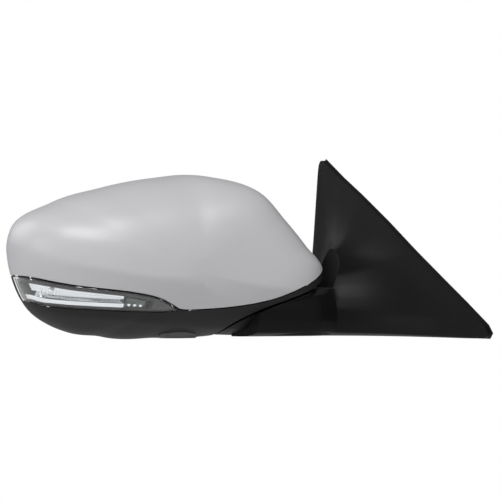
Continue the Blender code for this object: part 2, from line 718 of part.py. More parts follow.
drive = prism("fold_drive_housing", stadium(DRIVE_R, DRIVE_OFFSET), DRIVE_FLOOR_H, DRIVE_TOP_H)
flange = block("flange", (-30, FRAME_Y + FRAME_THICK + TOUCH_GAP, 27), (-4, -10, 53))
join(drive, flange)
cut(drive, prism("drive_hollow", stadium(DRIVE_R - DRIVE_WALL, DRIVE_OFFSET), DRIVE_FLOOR_H + 2.2, 80))
cut(drive, rod("drive_bore", SHAFT_R + 0.8, 0, 60, steps=20))
DRIVE_SCREWS = [(-12.0, 33.0), (-25.0, 46.0)]
for x, h in DRIVE_SCREWS:
    cut(drive, rod("flange_hole", SCREW_R + RUN_GAP, -40, -15.2, (x, h), "y"))
finish(drive, DARK, HEAD)

drive_cover = prism("fold_drive_cover", stadium(DRIVE_R, DRIVE_OFFSET), DRIVE_TOP_H + TOUCH_GAP, DRIVE_TOP_H + 2.2)
lip = prism("lip", stadium(DRIVE_R - DRIVE_WALL - TOUCH_GAP, DRIVE_OFFSET), DRIVE_TOP_H - 1.6, DRIVE_TOP_H + 1.0)
lip_hole = prism("lip_hole", stadium(DRIVE_R - DRIVE_WALL - 2.4, DRIVE_OFFSET), DRIVE_TOP_H - 5, DRIVE_TOP_H + 0.6)
join(drive_cover, cut(lip, lip_hole))
finish(cut(drive_cover, rod("lead_hole", SHAFT_BORE_R, 40, 80)), DARK, HEAD)

motor_at = (-DRIVE_OFFSET, 0.0, 0.0)
motor_profile = [(0, 37.2), (2.6, 37.2), (2.6, 38.6), (5.4, 38.6), (5.4, 51.6), (4.6, 52.4), (0, 52.4)]
finish(turned("fold_motor", motor_profile, motor_at, steps=24), STEEL, HEAD)

PINION = frame_empty("fold_pinion_axis", Vector((0.0, 0.0, 0.0)))
PINION.parent = HEAD
PINION.location = Vector(motor_at) * MM
fold_pinion = prism("fold_pinion", gear_outline(PINION_TEETH, GEAR_MODULE), SUN_LOW_H - 0.4, SUN_TOP_H + 0.4)
join(fold_pinion, rod("axle", 1.8, DRIVE_FLOOR_H + 2.7, 36.6, steps=16))
finish(fold_pinion, BRASS, PINION)


# ---------------------------------------------------------------- head frame and glass actuator
PIVOT_X, PIVOT_Y, PIVOT_GH = GLASS_PIVOT
FRAME_OUTLINE = [
    (-172, 56), (-168, 78), (-140, 94), (-80, 98), (-40, 86), (-22, 60), (-4, 56),
    (-4, 27), (-14, 27), (-30, 39), (-60, 26), (-118, 24), (-150, 40),
]
ACTUATOR_SCREWS = [(PIVOT_X + 31 * math.cos(a), PIVOT_GH + 31 * math.sin(a)) for a in (0.70, 2.45, 5.50)]
head_frame = prism("head_frame", FRAME_OUTLINE, FRAME_Y, FRAME_Y + FRAME_THICK, "y")
cut(head_frame, prism("window", [(-166, 58), (-163, 74), (-146, 84), (-146, 44)], -60, 0, "y"))
cut(head_frame, prism("window", [(-58, 32), (-58, 84), (-46, 80), (-34, 62), (-40, 44)], -60, 0, "y"))
for x, h in ACTUATOR_SCREWS + DRIVE_SCREWS:
    cut(head_frame, rod("screw_hole", SCREW_R + RUN_GAP, -60, 0, (x, h), "y", 16))
rib = prism("rib", FRAME_OUTLINE, FRAME_Y - 5, FRAME_Y + 1, "y")
cut(rib, prism("rib_hollow", inset(FRAME_OUTLINE, 2.2), FRAME_Y - 20, FRAME_Y + 20, "y"))
join(head_frame, rib)
finish(head_frame, DARK, HEAD)

ACTUATOR_BACK = FRAME_Y + FRAME_THICK + TOUCH_GAP
ACTUATOR_FRONT = 6.0
PAN_AT = (PIVOT_X - PLUNGER_LEVER, PIVOT_GH)
TILT_AT = (PIVOT_X, PIVOT_GH - PLUNGER_LEVER)
actuator = rod("actuator_housing", ACTUATOR_R, ACTUATOR_BACK, ACTUATOR_FRONT, (PIVOT_X, PIVOT_GH), "y", 28)
post = block("ears", (PIVOT_X - 3.6, ACTUATOR_FRONT - 3, PIVOT_GH - EAR_FAR), (PIVOT_X + 3.6, PIVOT_Y + 3.6, PIVOT_GH + EAR_FAR))
cut(post, block("between", (PIVOT_X - 9, ACTUATOR_FRONT + 3, PIVOT_GH - EAR_NEAR), (PIVOT_X + 9, 60, PIVOT_GH + EAR_NEAR)))
join(actuator, post)
cut(actuator, rod("pan_pivot", 1.6 + RUN_GAP, PIVOT_GH - 30, PIVOT_GH + 30, (PIVOT_X, PIVOT_Y), "z", 16))
for x, h in (PAN_AT, TILT_AT):
    cut(actuator, rod("plunger_bore", PLUNGER_R + RUN_GAP, -18.0, 40, (x, h), "y"))
for x, h in ACTUATOR_SCREWS:
    cut(actuator, rod("screw_hole", SCREW_R + RUN_GAP, -60, -8, (x, h), "y", 16))
MOTOR_R, MOTOR_LENGTH = 6.0, 25.0
MOTORS = {"pan_motor": (PIVOT_X - 4.0, PIVOT_GH + 14.0), "tilt_motor": (PIVOT_X - 4.0, PIVOT_GH - 4.0)}
MOTOR_Y = -11.0
for x, h in MOTORS.values():
    low = (x - MOTOR_LENGTH / 2 - 0.6, ACTUATOR_BACK - 3, h - MOTOR_R - 0.6)
    high = (x + MOTOR_LENGTH / 2 + 0.6, MOTOR_Y + MOTOR_R + 0.8, h + MOTOR_R + 0.6)
    cut(actuator, block("motor_bay", low, high))
finish(actuator, DARK, HEAD)
for name, (x, h) in MOTORS.items():
    half = MOTOR_LENGTH / 2
    profile = [(0, x - half), (MOTOR_R, x - half), (MOTOR_R, x + half - 3), (2.2, x + half - 3), (2.2, x + half), (0, x + half)]
    finish(turned(name, profile, (0.0, MOTOR_Y, h), "x", 12), STEEL, HEAD)

SCREW_HEAD_Y = FRAME_Y - TOUCH_GAP


def frame_screw(name, x, h, reach):
    profile = [
        (0, SCREW_HEAD_Y - 2.2), (3.6, SCREW_HEAD_Y - 2.2), (3.6, SCREW_HEAD_Y), (SCREW_R, SCREW_HEAD_Y),
        (SCREW_R, reach - 1.2), (SCREW_R - 0.9, reach), (0, reach),
    ]
    return finish(turned(name, profile, (x, 0.0, h), "y", 10), STEEL, HEAD)


for number, (x, h) in enumerate(ACTUATOR_SCREWS, 1):
    frame_screw(f"actuator_screw_{number}", x, h, -10.0)
for number, (x, h) in enumerate(DRIVE_SCREWS, 1):
    frame_screw(f"drive_screw_{number}", x, h, -16.2)


# ---------------------------------------------------------------- gimbal, plungers and glass
GIMBAL = frame_empty("gimbal_axis", GLASS_PIVOT)
GIMBAL.parent = HEAD
TO_GIMBAL = Matrix.Translation(-GLASS_PIVOT * MM)


def to_gimbal(obj):
    obj.data.transform(TO_GIMBAL)
    return obj


ring_low, ring_high, ring_centre = PIVOT_Y - RING_HALF, PIVOT_Y + RING_HALF, (PIVOT_X, 0.0, PIVOT_GH)
gimbal_ring = ring("gimbal_ring", RING_INNER, RING_OUTER, ring_low, ring_high, centre=ring_centre, axis="y", steps=40)
for low, high in ((RING_INNER + 1, EAR_FAR - 0.6), (-EAR_FAR + 0.6, -RING_INNER - 1)):
    join(gimbal_ring, rod("pan_pin", 1.6, PIVOT_GH + low, PIVOT_GH + high, (PIVOT_X, PIVOT_Y), "z", 16))
    join(gimbal_ring, rod("tilt_pin", 1.6, PIVOT_X + low, PIVOT_X + high, (PIVOT_Y, PIVOT_GH), "x", 16))
finish(to_gimbal(gimbal_ring), STEEL, GIMBAL)

PLUNGER_TIP_Y = 29.6
for name, (x, h) in (("pan_plunger", PAN_AT), ("tilt_plunger", TILT_AT)):
    carrier = frame_empty(name + "_axis", Vector((x, 0.0, h)))
    carrier.parent = HEAD
    profile = [
        (0, -12.0), (PLUNGER_R, -12.0), (PLUNGER_R, PLUNGER_TIP_Y - 5), (PLUNGER_R - 1.2, PLUNGER_TIP_Y - 4),
        (PLUNGER_R - 0.6, PLUNGER_TIP_Y - 1.6), (1.2, PLUNGER_TIP_Y), (0, PLUNGER_TIP_Y),
    ]
    finish(turned(name, profile, (0.0, 0.0, 0.0), "y", 18), WHITE, carrier)


def fold_line_height(x):
    """Height of the fold line at x, level past its ends."""
    for (x0, h0), (x1, h1) in zip(FOLD_LINE, FOLD_LINE[1:]):
        if x0 <= x <= x1:
            return h0 + (h1 - h0) * (x - x0) / (x1 - x0)
    return FOLD_LINE[0][1] if x < FOLD_LINE[0][0] else FOLD_LINE[-1][1]


def glass_outline(margin, steps=OUTLINE_STEPS):
    """(x, h) outline inside the rim, and above the fold line, by a margin."""
    outline = []
    for i in range(steps):
        angle = -math.pi + 2 * math.pi * i / steps
        radius = outline_radius(angle) * (1 - RIM_SHRINK) - margin
        reach = margin + 2.0
        while CENTRE_H + radius * math.sin(angle) < fold_line_height(CENTRE_X + radius * math.cos(angle) + reach) + reach:
            radius -= 0.5
        outline.append((CENTRE_X + radius * math.cos(angle), CENTRE_H + radius * math.sin(angle)))
    return outline


def crowned_y(x, h, crest):
    """Depth of a surface of the glass's radius whose crest is over the pivot."""
    away = (x - PIVOT_X) ** 2 + (h - PIVOT_GH) ** 2
    return crest - away / (2 * GLASS_RADIUS)


def crowned_sheet(name, margin, crest, thickness, shares=(0.5, 1.0)):
    """A sheet of even thickness, curved as the glass is."""
    outline = glass_outline(margin)
    rings, tips = [], []
    for share in shares:
        spots = [(CENTRE_X + (x - CENTRE_X) * share, CENTRE_H + (h - CENTRE_H) * share) for x, h in outline]
        rings.append([(x, crowned_y(x, h, crest), h) for x, h in spots])
    count = len(outline)
    points, faces = [], []
    for layer, drop in enumerate((0.0, thickness)):
        start = len(points)
        points.append((CENTRE_X, crowned_y(CENTRE_X, CENTRE_H, crest) - drop, CENTRE_H))
        for level in rings:
            points += [(x, y - drop, h) for x, y, h in level]
        for i in range(count):
            j = (i + 1) % count
            faces.append([start, start + 1 + i, start + 1 + j])
            for level in range(len(rings) - 1):
                a, b = start + 1 + level * count, start + 1 + (level + 1) * count
                faces.append([a + i, b + i, b + j, a + j])
    edge = 1 + (len(rings) - 1) * count
    other = edge + 1 + len(rings) * count
    faces += [[edge + i, other + i, other + (i + 1) % count, edge + (i + 1) % count] for i in range(count)]
    return new_object(name, points, faces)


GLASS = frame_empty("glass_axis", Vector((0.0, 0.0, 0.0)))
GLASS.parent = GIMBAL
mirror_glass = crowned_sheet("mirror_glass", GLASS_MARGIN, GLASS_CREST_Y, GLASS_THICK)
finish(to_gimbal(mirror_glass), MIRROR, GLASS)

heater_crest = GLASS_CREST_Y - GLASS_THICK - 1.6 * TOUCH_GAP
glass_heater = crowned_sheet("glass_heater", GLASS_MARGIN + 4.0, heater_crest, HEATER_THICK)
finish(to_gimbal(glass_heater), GREEN, GLASS)

carrier_crest = heater_crest - HEATER_THICK - TOUCH_GAP
glass_carrier = crowned_sheet("glass_carrier", GLASS_MARGIN + 1.0, carrier_crest, CARRIER_THICK)
for side in (-1, 1):
    near, far = sorted((side * EAR_NEAR, side * EAR_FAR))
    ear = block("carrier_ear", (PIVOT_X + near, PIVOT_Y - 3.4, PIVOT_GH - 3.6), (PIVOT_X + far, carrier_crest - 0.8, PIVOT_GH + 3.6))
    join(glass_carrier, ear)
cut(glass_carrier, rod("tilt_pivot", 1.6 + RUN_GAP, PIVOT_X - 30, PIVOT_X + 30, (PIVOT_Y, PIVOT_GH), "x", 16))
finish(to_gimbal(glass_carrier), BLACK, GLASS)


# ---------------------------------------------------------------- bezel
def outline_ring(margin, y):
    return [(x, y, h) for x, h in glass_outline(margin)]


BEZEL_LOW_Y, BEZEL_HIGH_Y = 31.5, 43.5
BEZEL_OUTER = SHELL_WALL + 2 * TOUCH_GAP
bezel = loft("bezel", [outline_ring(BEZEL_OUTER, y) for y in (BEZEL_LOW_Y, BEZEL_HIGH_Y)])
cut(bezel, loft("bezel_hole", [outline_ring(BEZEL_MARGIN, BEZEL_LOW_Y - 5), outline_ring(BEZEL_MARGIN, BEZEL_HIGH_Y + 5)]))
keep_inside(bezel, end_trim("bezel_trim", TURRET_R - 2.0, TRIM_REAR_Y - 1))
finish(bezel, BLACK, HEAD)


# ---------------------------------------------------------------- turn lamp and puddle lamp
lens = keep_inside(head_shell("lamp_lens"), lens_region("lens_piece", PANEL_GAP, LENS_END_Y - PANEL_GAP))
finish(lens, CLEAR, HEAD)


def envelope_layer(name, near, far):
    """The solid between two offsets of the head's envelope."""
    return cut(envelope(name, near), envelope("under_" + name, far, HEAD_RIM_Y + 15))


lamp_body = keep_inside(envelope_layer("lamp_body", SHELL_WALL + TOUCH_GAP, 15.0), lens_region("lamp_limit", 1.2, LENS_END_Y - 3))
pocket = keep_inside(envelope_layer("pocket", 0.5, 13.0), lens_region("pocket_limit", 3.0, LENS_END_Y - 5))
keep_inside(pocket, block("pocket_reach", (-400, -100, -50), (-0.56 * HEAD_REACH, 100, 200)))
finish(cut(lamp_body, pocket), DARK, HEAD)

reflector = keep_inside(envelope_layer("lamp_reflector", 9.5, 11.5), lens_region("reflector_limit", 4.0, LENS_END_Y - 7))
keep_inside(reflector, block("reflector_reach", (-400, -100, -50), (-0.67 * HEAD_REACH, 100, 200)))
finish(reflector, CHROME, HEAD)

guide = keep_inside(envelope_layer("lamp_light_guide", 5.0, 7.5), lens_region("guide_limit", 4.0, 0))
keep_inside(guide, block("guide_reach", (-0.655 * HEAD_REACH, -100, -50), (-0.585 * HEAD_REACH, 100, 200)))
finish(guide, CLEAR, HEAD)

led_board = keep_inside(envelope_layer("led_board", 9.0, 10.6), lens_region("board_limit", 4.0, 0))
keep_inside(led_board, block("board_reach", (-0.655 * HEAD_REACH, -100, -50), (-0.585 * HEAD_REACH, 100, 200)))
finish(led_board, GREEN, HEAD)

puddle_lens = prism("puddle_lens", oval(16, 10, PUDDLE_AT), -1.2, 4.0)
finish(puddle_lens, CLEAR, HEAD)
puddle_body = prism("puddle_body", oval(15, 9, PUDDLE_AT), 4.0 + TOUCH_GAP, 14.0)
cut(puddle_body, prism("puddle_well", oval(13, 7, PUDDLE_AT), 0, 12.0))
finish(puddle_body, DARK, HEAD)
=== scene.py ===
"""Looks of a right-hand car door mirror: primed cap, turn lamp, grained black base and convex glass."""

import json
import math

import bmesh
import bpy
from mathutils import Matrix, Vector


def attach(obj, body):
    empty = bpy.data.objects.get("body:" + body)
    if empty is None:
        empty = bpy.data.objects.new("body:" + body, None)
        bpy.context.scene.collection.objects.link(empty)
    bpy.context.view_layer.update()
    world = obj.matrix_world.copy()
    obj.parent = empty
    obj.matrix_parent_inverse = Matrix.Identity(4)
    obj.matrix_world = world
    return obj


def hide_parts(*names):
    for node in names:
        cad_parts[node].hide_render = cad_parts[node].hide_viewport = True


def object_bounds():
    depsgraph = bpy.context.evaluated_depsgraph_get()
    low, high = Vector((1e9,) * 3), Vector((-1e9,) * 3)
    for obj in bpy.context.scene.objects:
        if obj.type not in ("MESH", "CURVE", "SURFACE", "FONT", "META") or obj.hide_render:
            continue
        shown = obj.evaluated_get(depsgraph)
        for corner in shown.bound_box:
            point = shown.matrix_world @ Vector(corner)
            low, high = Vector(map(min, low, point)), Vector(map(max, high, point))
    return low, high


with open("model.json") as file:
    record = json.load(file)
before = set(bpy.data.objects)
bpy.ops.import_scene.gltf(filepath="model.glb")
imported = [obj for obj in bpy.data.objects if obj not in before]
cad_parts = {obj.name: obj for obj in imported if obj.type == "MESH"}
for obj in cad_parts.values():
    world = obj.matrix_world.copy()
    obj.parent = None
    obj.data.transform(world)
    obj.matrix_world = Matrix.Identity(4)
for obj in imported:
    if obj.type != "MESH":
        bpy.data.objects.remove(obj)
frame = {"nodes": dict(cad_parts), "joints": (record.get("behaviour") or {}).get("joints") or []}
cad_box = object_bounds()
MM = 0.001
joints = {joint["name"]: joint for joint in frame["joints"]}

# ---------------------------------------------------------------- camera, lights and floor
# A long lens looks level at the mirror from ahead and outboard of the car, at the height of the cap.
VIEW_TURN = math.radians(38.0)
VIEW_LIFT = math.radians(1.0)
VIEW_DISTANCE = 8.0
VIEW_WIDTH = 0.400
VIEW_TARGET = Vector((-0.1058, 0.0319, 0.0342))

level = math.cos(VIEW_LIFT)
look = Vector((math.sin(VIEW_TURN) * level, math.cos(VIEW_TURN) * level, -math.sin(VIEW_LIFT)))
camera = bpy.data.objects.new("camera", bpy.data.cameras.new("camera"))
camera.data.sensor_width = 36.0
camera.data.lens = 36.0 * VIEW_DISTANCE / VIEW_WIDTH
camera.data.clip_start = 0.05
camera.location = VIEW_TARGET - look * VIEW_DISTANCE
camera.rotation_euler = look.to_track_quat("-Z", "Y").to_euler()
bpy.context.scene.collection.objects.link(camera)
bpy.context.scene.camera = camera
bpy.context.scene.view_settings.view_transform = "Standard"


def area_light(name, place, size, power):
    """A soft panel aimed at the mirror."""
    lamp = bpy.data.lights.new(name, "AREA")
    lamp.shape = "RECTANGLE"
    lamp.size, lamp.size_y = size
    lamp.energy = power
    obj = bpy.data.objects.new(name, lamp)
    obj.location = place
    obj.rotation_euler = (VIEW_TARGET - Vector(place)).to_track_quat("-Z", "Y").to_euler()
    bpy.context.scene.collection.objects.link(obj)


area_light("key_panel", (-1.1, -0.9, 1.7), (1.4, 1.4), 41.0)
area_light("front_panel", (0.5, -1.8, 0.5), (1.0, 1.2), 2.0)
area_light("rear_panel", (-0.9, 1.6, 1.0), (1.2, 1.2), 10.0)
area_light("side_panel", (-1.9, 0.4, 0.2), (1.0, 1.0), 5.0)


def seen_directly(nodes, links):
    """1 where the camera sees a surface straight or through clear plastic, else 0."""
    rays = nodes.new("ShaderNodeLightPath")
    either = nodes.new("ShaderNodeMath")
    either.operation = "MAXIMUM"
    links.new(rays.outputs["Is Camera Ray"], either.inputs[0])
    links.new(rays.outputs["Is Transmission Ray"], either.inputs[1])
    return either.outputs[0]


world = bpy.data.worlds.new("studio")
bpy.context.scene.world = world
world.use_nodes = True
nodes, links = world.node_tree.nodes, world.node_tree.links
soft = nodes["Background"]
soft.inputs["Color"].default_value = (1.0, 1.0, 1.0, 1.0)
soft.inputs["Strength"].default_value = 0.20
bright = nodes.new("ShaderNodeBackground")
bright.inputs["Color"].default_value = (1.0, 1.0, 1.0, 1.0)
bright.inputs["Strength"].default_value = 1.0
choose = nodes.new("ShaderNodeMixShader")
links.new(seen_directly(nodes, links), choose.inputs[0])
links.new(soft.outputs[0], choose.inputs[1])
links.new(bright.outputs[0], choose.inputs[2])
links.new(choose.outputs[0], nodes["World Output"].inputs["Surface"])

FLOOR_BELOW = 0.24
floor_mesh = bpy.data.meshes.new("floor")
shape = bmesh.new()
bmesh.ops.create_grid(shape, x_segments=1, y_segments=1, size=6.0)
bmesh.ops.translate(shape, verts=shape.verts, vec=(0.0, 0.0, cad_box[0][2] - FLOOR_BELOW))
shape.to_mesh(floor_mesh)
shape.free()
floor = bpy.data.objects.new("floor", floor_mesh)
bpy.context.scene.collection.objects.link(floor)
paper = bpy.data.materials.new("white_paper")
paper.use_nodes = True
nodes, links = paper.node_tree.nodes, paper.node_tree.links
nodes["Principled BSDF"].inputs["Base Color"].default_value = (0.80, 0.80, 0.80, 1.0)
nodes["Principled BSDF"].inputs["Roughness"].default_value = 0.9
glow = nodes.new("ShaderNodeEmission")
glow.inputs["Color"].default_value = (1.0, 1.0, 1.0, 1.0)
glow.inputs["Strength"].default_value = 1.0
choose = nodes.new("ShaderNodeMixShader")
links.new(seen_directly(nodes, links), choose.inputs[0])
links.new(nodes["Principled BSDF"].outputs[0], choose.inputs[1])
links.new(glow.outputs[0], choose.inputs[2])
links.new(choose.outputs[0], nodes["Material Output"].inputs["Surface"])
floor_mesh.materials.append(paper)


# ---------------------------------------------------------------- base cover
# Grained black moulding that flares from the fold pivot into the sail on the door. One injection-moulded
# shell, hollow towards the door, with a round scoop in which the head turns.
def surface(name, colour, roughness, metallic=0.0, grain=0.0, depth=0.0, vary=0.0, mottle=0.0, **extra):
    """A Principled finish with fine relief, uneven gloss and faint colour change, sizes in metres."""
    made = bpy.data.materials.new(name)
    made.use_nodes = True
    nodes, links = made.node_tree.nodes, made.node_tree.links
    shader = nodes["Principled BSDF"]
    shader.inputs["Base Color"].default_value = (*colour, 1.0)
    shader.inputs["Roughness"].default_value = roughness
    shader.inputs["Metallic"].default_value = metallic
    for socket, value in extra.items():
        shader.inputs[socket.replace("_", " ")].default_value = value
    where = nodes.new("ShaderNodeTexCoord").outputs["Object"]
    if grain:
        pits = nodes.new("ShaderNodeTexNoise")
        pits.inputs["Scale"].default_value = 1.0 / grain
        pits.inputs["Detail"].default_value = 3.0
        bump = nodes.new("ShaderNodeBump")
        bump.inputs["Distance"].default_value = depth
        bump.inputs["Strength"].default_value = 1.0
        links.new(where, pits.inputs["Vector"])
        links.new(pits.outputs["Fac"], bump.inputs["Height"])
        links.new(bump.outputs["Normal"], shader.inputs["Normal"])
    if vary or mottle:
        cloud = nodes.new("ShaderNodeTexNoise")
        cloud.inputs["Scale"].default_value = 28.0
        cloud.inputs["Detail"].default_value = 4.0
        links.new(where, cloud.inputs["Vector"])
    if vary:
        span = nodes.new("ShaderNodeMapRange")
        span.inputs["To Min"].default_value = roughness - vary
        span.inputs["To Max"].default_value = roughness + vary
        links.new(cloud.outputs["Fac"], span.inputs["Value"])
        links.new(span.outputs["Result"], shader.inputs["Roughness"])
    if mottle:
        tint = nodes.new("ShaderNodeValToRGB")
        tint.color_ramp.elements[0].color = (*[c * (1 - mottle) for c in colour], 1.0)
        tint.color_ramp.elements[1].color = (*[c * (1 + mottle) for c in colour], 1.0)
        links.new(cloud.outputs["Fac"], tint.inputs["Fac"])
        links.new(tint.outputs["Color"], shader.inputs["Base Color"])
    return made


pivot = Vector(joints["fold"]["pos_m"]) / MM
across = Vector(joints["glass_tilt"]["axis"])
PAD_F = 85.0
HEAD_TO_WORLD = Matrix.Translation(pivot * MM) @ Matrix.Rotation(math.atan2(across.y, across.x), 4, "Z")
BASE_TO_WORLD = Matrix.Translation((0.0, 0.0, pivot.z * MM))


def new_piece(name, points, faces, place):
    """A closed mesh from points in millimetres, faces turned out, put in its place in the car."""
    mesh = bpy.data.meshes.new(name)
    mesh.from_pydata([Vector(point) * MM for point in points], [], faces)
    shape = bmesh.new()
    shape.from_mesh(mesh)
    bmesh.ops.recalc_face_normals(shape, faces=shape.faces)
    shape.to_mesh(mesh)
    shape.free()
    mesh.transform(place)
    obj = bpy.data.objects.new(name, mesh)
    bpy.context.scene.collection.objects.link(obj)
    return obj


def loft(name, rings, place, tip=None):
    """Rings of equal length joined in order and closed at both ends."""
    count = len(rings[0])
    points = [point for ring in rings for point in ring]
    faces = [list(range(count))]
    for level in range(len(rings) - 1):
        low, high = level * count, (level + 1) * count
        for i in range(count):
            j = (i + 1) % count
            faces.append([low + i, low + j, high + j, high + i])
    last = (len(rings) - 1) * count
    if tip:
        points.append(tip)
        faces += [[last + i, last + (i + 1) % count, len(points) - 1] for i in range(count)]
    else:
        faces.append(list(range(last, last + count)))
    return new_piece(name, points, faces, place)


def prism(name, outline, low, high, axis, place):
    """An outline carried straight along one axis."""
    orders = {"x": (2, 0, 1), "y": (0, 2, 1), "z": (0, 1, 2)}
    rings = [[tuple((a, b, t)[k] for k in orders[axis]) for a, b in outline] for t in (low, high)]
    return loft(name, rings, place)


def circle(radius, centre=(0.0, 0.0), steps=96):
    turns = [2 * math.pi * i / steps for i in range(steps)]
    return [(centre[0] + radius * math.cos(a), centre[1] + radius * math.sin(a)) for a in turns]


def combine(obj, other, operation):
    modifier = obj.modifiers.new("combine", "BOOLEAN")
    modifier.operation, modifier.solver, modifier.object = operation, "MANIFOLD", other
    bpy.context.view_layer.update()
    mesh = bpy.data.meshes.new_from_object(obj.evaluated_get(bpy.context.evaluated_depsgraph_get()))
    obj.modifiers.clear()
    obj.data = mesh
    bpy.data.objects.remove(other, do_unlink=True)
    return obj


def cut(obj, *others):
    for other in others:
        combine(obj, other, "DIFFERENCE")
    return obj


def keep_inside(obj, *others):
    for other in others:
        combine(obj, other, "INTERSECT")
    return obj


def finish_piece(obj, look_of_it, body, slot, *replaced, angle=28.0):
    """Shades the piece smooth up to an angle and hands it to its body."""
    obj.data.materials.clear()
    obj.data.materials.append(look_of_it)
    for polygon in obj.data.polygons:
        polygon.material_index = 0
    obj.data.shade_smooth()
    obj.data.set_sharp_from_angle(angle=math.radians(angle))
    obj.data.name = obj.name
    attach(obj, body)
    if replaced:
        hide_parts(*replaced)
    return obj


def spline_at(knots, x):
    """Smooth curve through (x, value) pairs, with slopes that don't overshoot."""
    for i in range(len(knots) - 1):
        (x0, v0), (x1, v1) = knots[i], knots[i + 1]
        if x0 <= x <= x1:
            before, after = knots[max(0, i - 1)], knots[min(len(knots) - 1, i + 2)]
            m0 = (v1 - before[1]) / (x1 - before[0]) * (x1 - x0)
            m1 = (after[1] - v0) / (after[0] - x0) * (x1 - x0)
            t = (x - x0) / (x1 - x0)
            return (2*t**3 - 3*t**2 + 1)*v0 + (t**3 - 2*t**2 + t)*m0 + (3*t**2 - 2*t**3)*v1 + (t**3 - t**2)*m1
    return knots[0][1] if x < knots[0][0] else knots[-1][1]


def rounded(outline, rounds, bite):
    """Corner cutting: each pass bites a share off both ends of every edge."""
    for _ in range(rounds):
        eased = []
        for i, (ax, ay) in enumerate(outline):
            bx, by = outline[(i + 1) % len(outline)]
            eased.append((ax + (bx - ax) * bite, ay + (by - ay) * bite))
            eased.append((bx - (bx - ax) * bite, by - (by - ay) * bite))
        outline, bite = eased, 0.25
    return outline


SAIL = [
    (0, 0), (2.8, 35), (8, 75), (14.3, 136.5), (18.5, 141), (42, 126), (65, 113), (99, 92), (134, 69),
    (169, 47), (198, 29), (226, 11), (231, 4.5), (227.5, 0), (150, 0), (75, 0),
]
ARM = [
    (15, 1), (14, 9), (15, 18), (30, 20), (44, 40), (52, 58), (60, 61), (71, 56), (81, 48),
    (88, 40), (92, 32), (95, 22), (95, 12), (92, 3), (75, 0), (40, 0),
]
FLARE = [(-66, 1.0), (-50, 1.0), (-36, 0.86), (-24, 0.66), (-15, 0.42), (-9, 0.16), (-6, 0.0), (-1.5, 0.0)]
REAR_HASTE, TOP_HASTE = 3.0, 1.8
DOOR_X, ARM_END_X, FLARE_START = -1.5, -66.0, 4.0
COVER_WALL = 2.8


def inset(outline, distance):
    """Every edge of a closed outline moved inwards, corners mitred."""
    area = sum(a[0] * b[1] - b[0] * a[1] for a, b in zip(outline, outline[1:] + outline[:1]))
    side = 1.0 if area > 0 else -1.0
    moved = []
    for i in range(len(outline)):
        before, here, after = (Vector(outline[(i + k) % len(outline)]) for k in (-1, 0, 1))
        first, second = (here - before).normalized(), (after - here).normalized()
        left = Vector((-first.y, first.x))
        normal = (left + Vector((-second.y, second.x))).normalized() * side
        moved.append(tuple(here + normal * distance / max(0.5, normal.dot(left) * side)))
    return moved


def base_ring(x, wall):
    """The cover's section: the sail's outline at the door, the arm's at the pivot, and a blend between."""
    share = min(1.0, max(0.0, spline_at(FLARE, x)))
    section = []
    for index, (a, b) in enumerate(zip(inset(SAIL, wall), inset(ARM, wall))):
        haste = REAR_HASTE if 0 < index < 4 else TOP_HASTE if 3 < index < 8 else 1.0
        t = 1 - (1 - share) ** haste
        section.append((a[0] + (b[0] - a[0]) * t, a[1] + (b[1] - a[1]) * t))
    return [(x, PAD_F - f, h) for f, h in rounded(section, 3, 0.14)]


def base_loft(name, wall, mouth, stations):
    """The cover's shape, or its hollow, from the door side out to the arm's end."""
    door_ring = [(mouth, y, h) for _, y, h in base_ring(DOOR_X, wall)]
    return loft(name, [door_ring] + [base_ring(x, wall) for x in stations], BASE_TO_WORLD)


HEAD_OUTLINE = [
    (-229.7, 77), (-222, 93), (-193, 107), (-150, 119), (-107, 126.5), (-64, 128), (-30.6, 117.5),
    (-10.8, 95),
    (7, 73), (21, 56), (20, 38), (5, 14), (-25, 3), (-64, 0), (-107, -1.4), (-150, 0),
    (-176, 3), (-195, 10), (-209, 19), (-218, 30), (-225, 45), (-229, 60),
]
HEAD_CENTRE = (-95.0, 52.0)
WIDEST_Y, RIM_Y, RIM_SHRINK, FRONT_DEPTH, SHELL_WALL = 28.0, 46.0, 0.06, 80.0, 2.6
CREASE = [
    (-240, 76), (-221, 70), (-207, 63), (-178, 56.5), (-138, 49.5), (-105, 46.5), (-70, 44.5),
    (-16, 38), (40, 32),
]
BAND = [
    (-240, 36), (-215, 27), (-199, 19.8), (-177, 16.7), (-160, 15.2), (-134, 12.8), (-108, 10),
    (-68, 6.8), (0, 3),
]
CREASE_SLOPE, CREASE_SOFT = 0.55, 1.2
BAND_SLOPE, BAND_SOFT = 0.90, 0.8

from_centre = [(x - HEAD_CENTRE[0], h - HEAD_CENTRE[1]) for x, h in HEAD_OUTLINE]
knots = sorted((math.atan2(h, x), math.hypot(h, x)) for x, h in from_centre)
knots = [(a - 2 * math.pi, r) for a, r in knots[-3:]] + knots + [(a + 2 * math.pi, r) for a, r in knots[:3]]


def soft_step(value, width):
    """Zero below 0 and equal to the value above it, blended over a width."""
    return 0.5 * (value + math.sqrt(value * value + width * width)) if value < 40 * width else value


def fullness(angle):
    """Exponent of the front's curve: blunt towards the door, rounder elsewhere."""
    return 2.6 + 3.4 * max(0.0, math.cos(angle)) ** 2 + 0.5 * max(0.0, -math.sin(angle))


def tuck(x, h):
    """How far the front steps back below the cap's crease, and again below the underside's edge."""
    below_crease = CREASE_SLOPE * soft_step(spline_at(CREASE, x) - h, CREASE_SOFT)
    return below_crease + BAND_SLOPE * soft_step(spline_at(BAND, x) - h, BAND_SOFT)


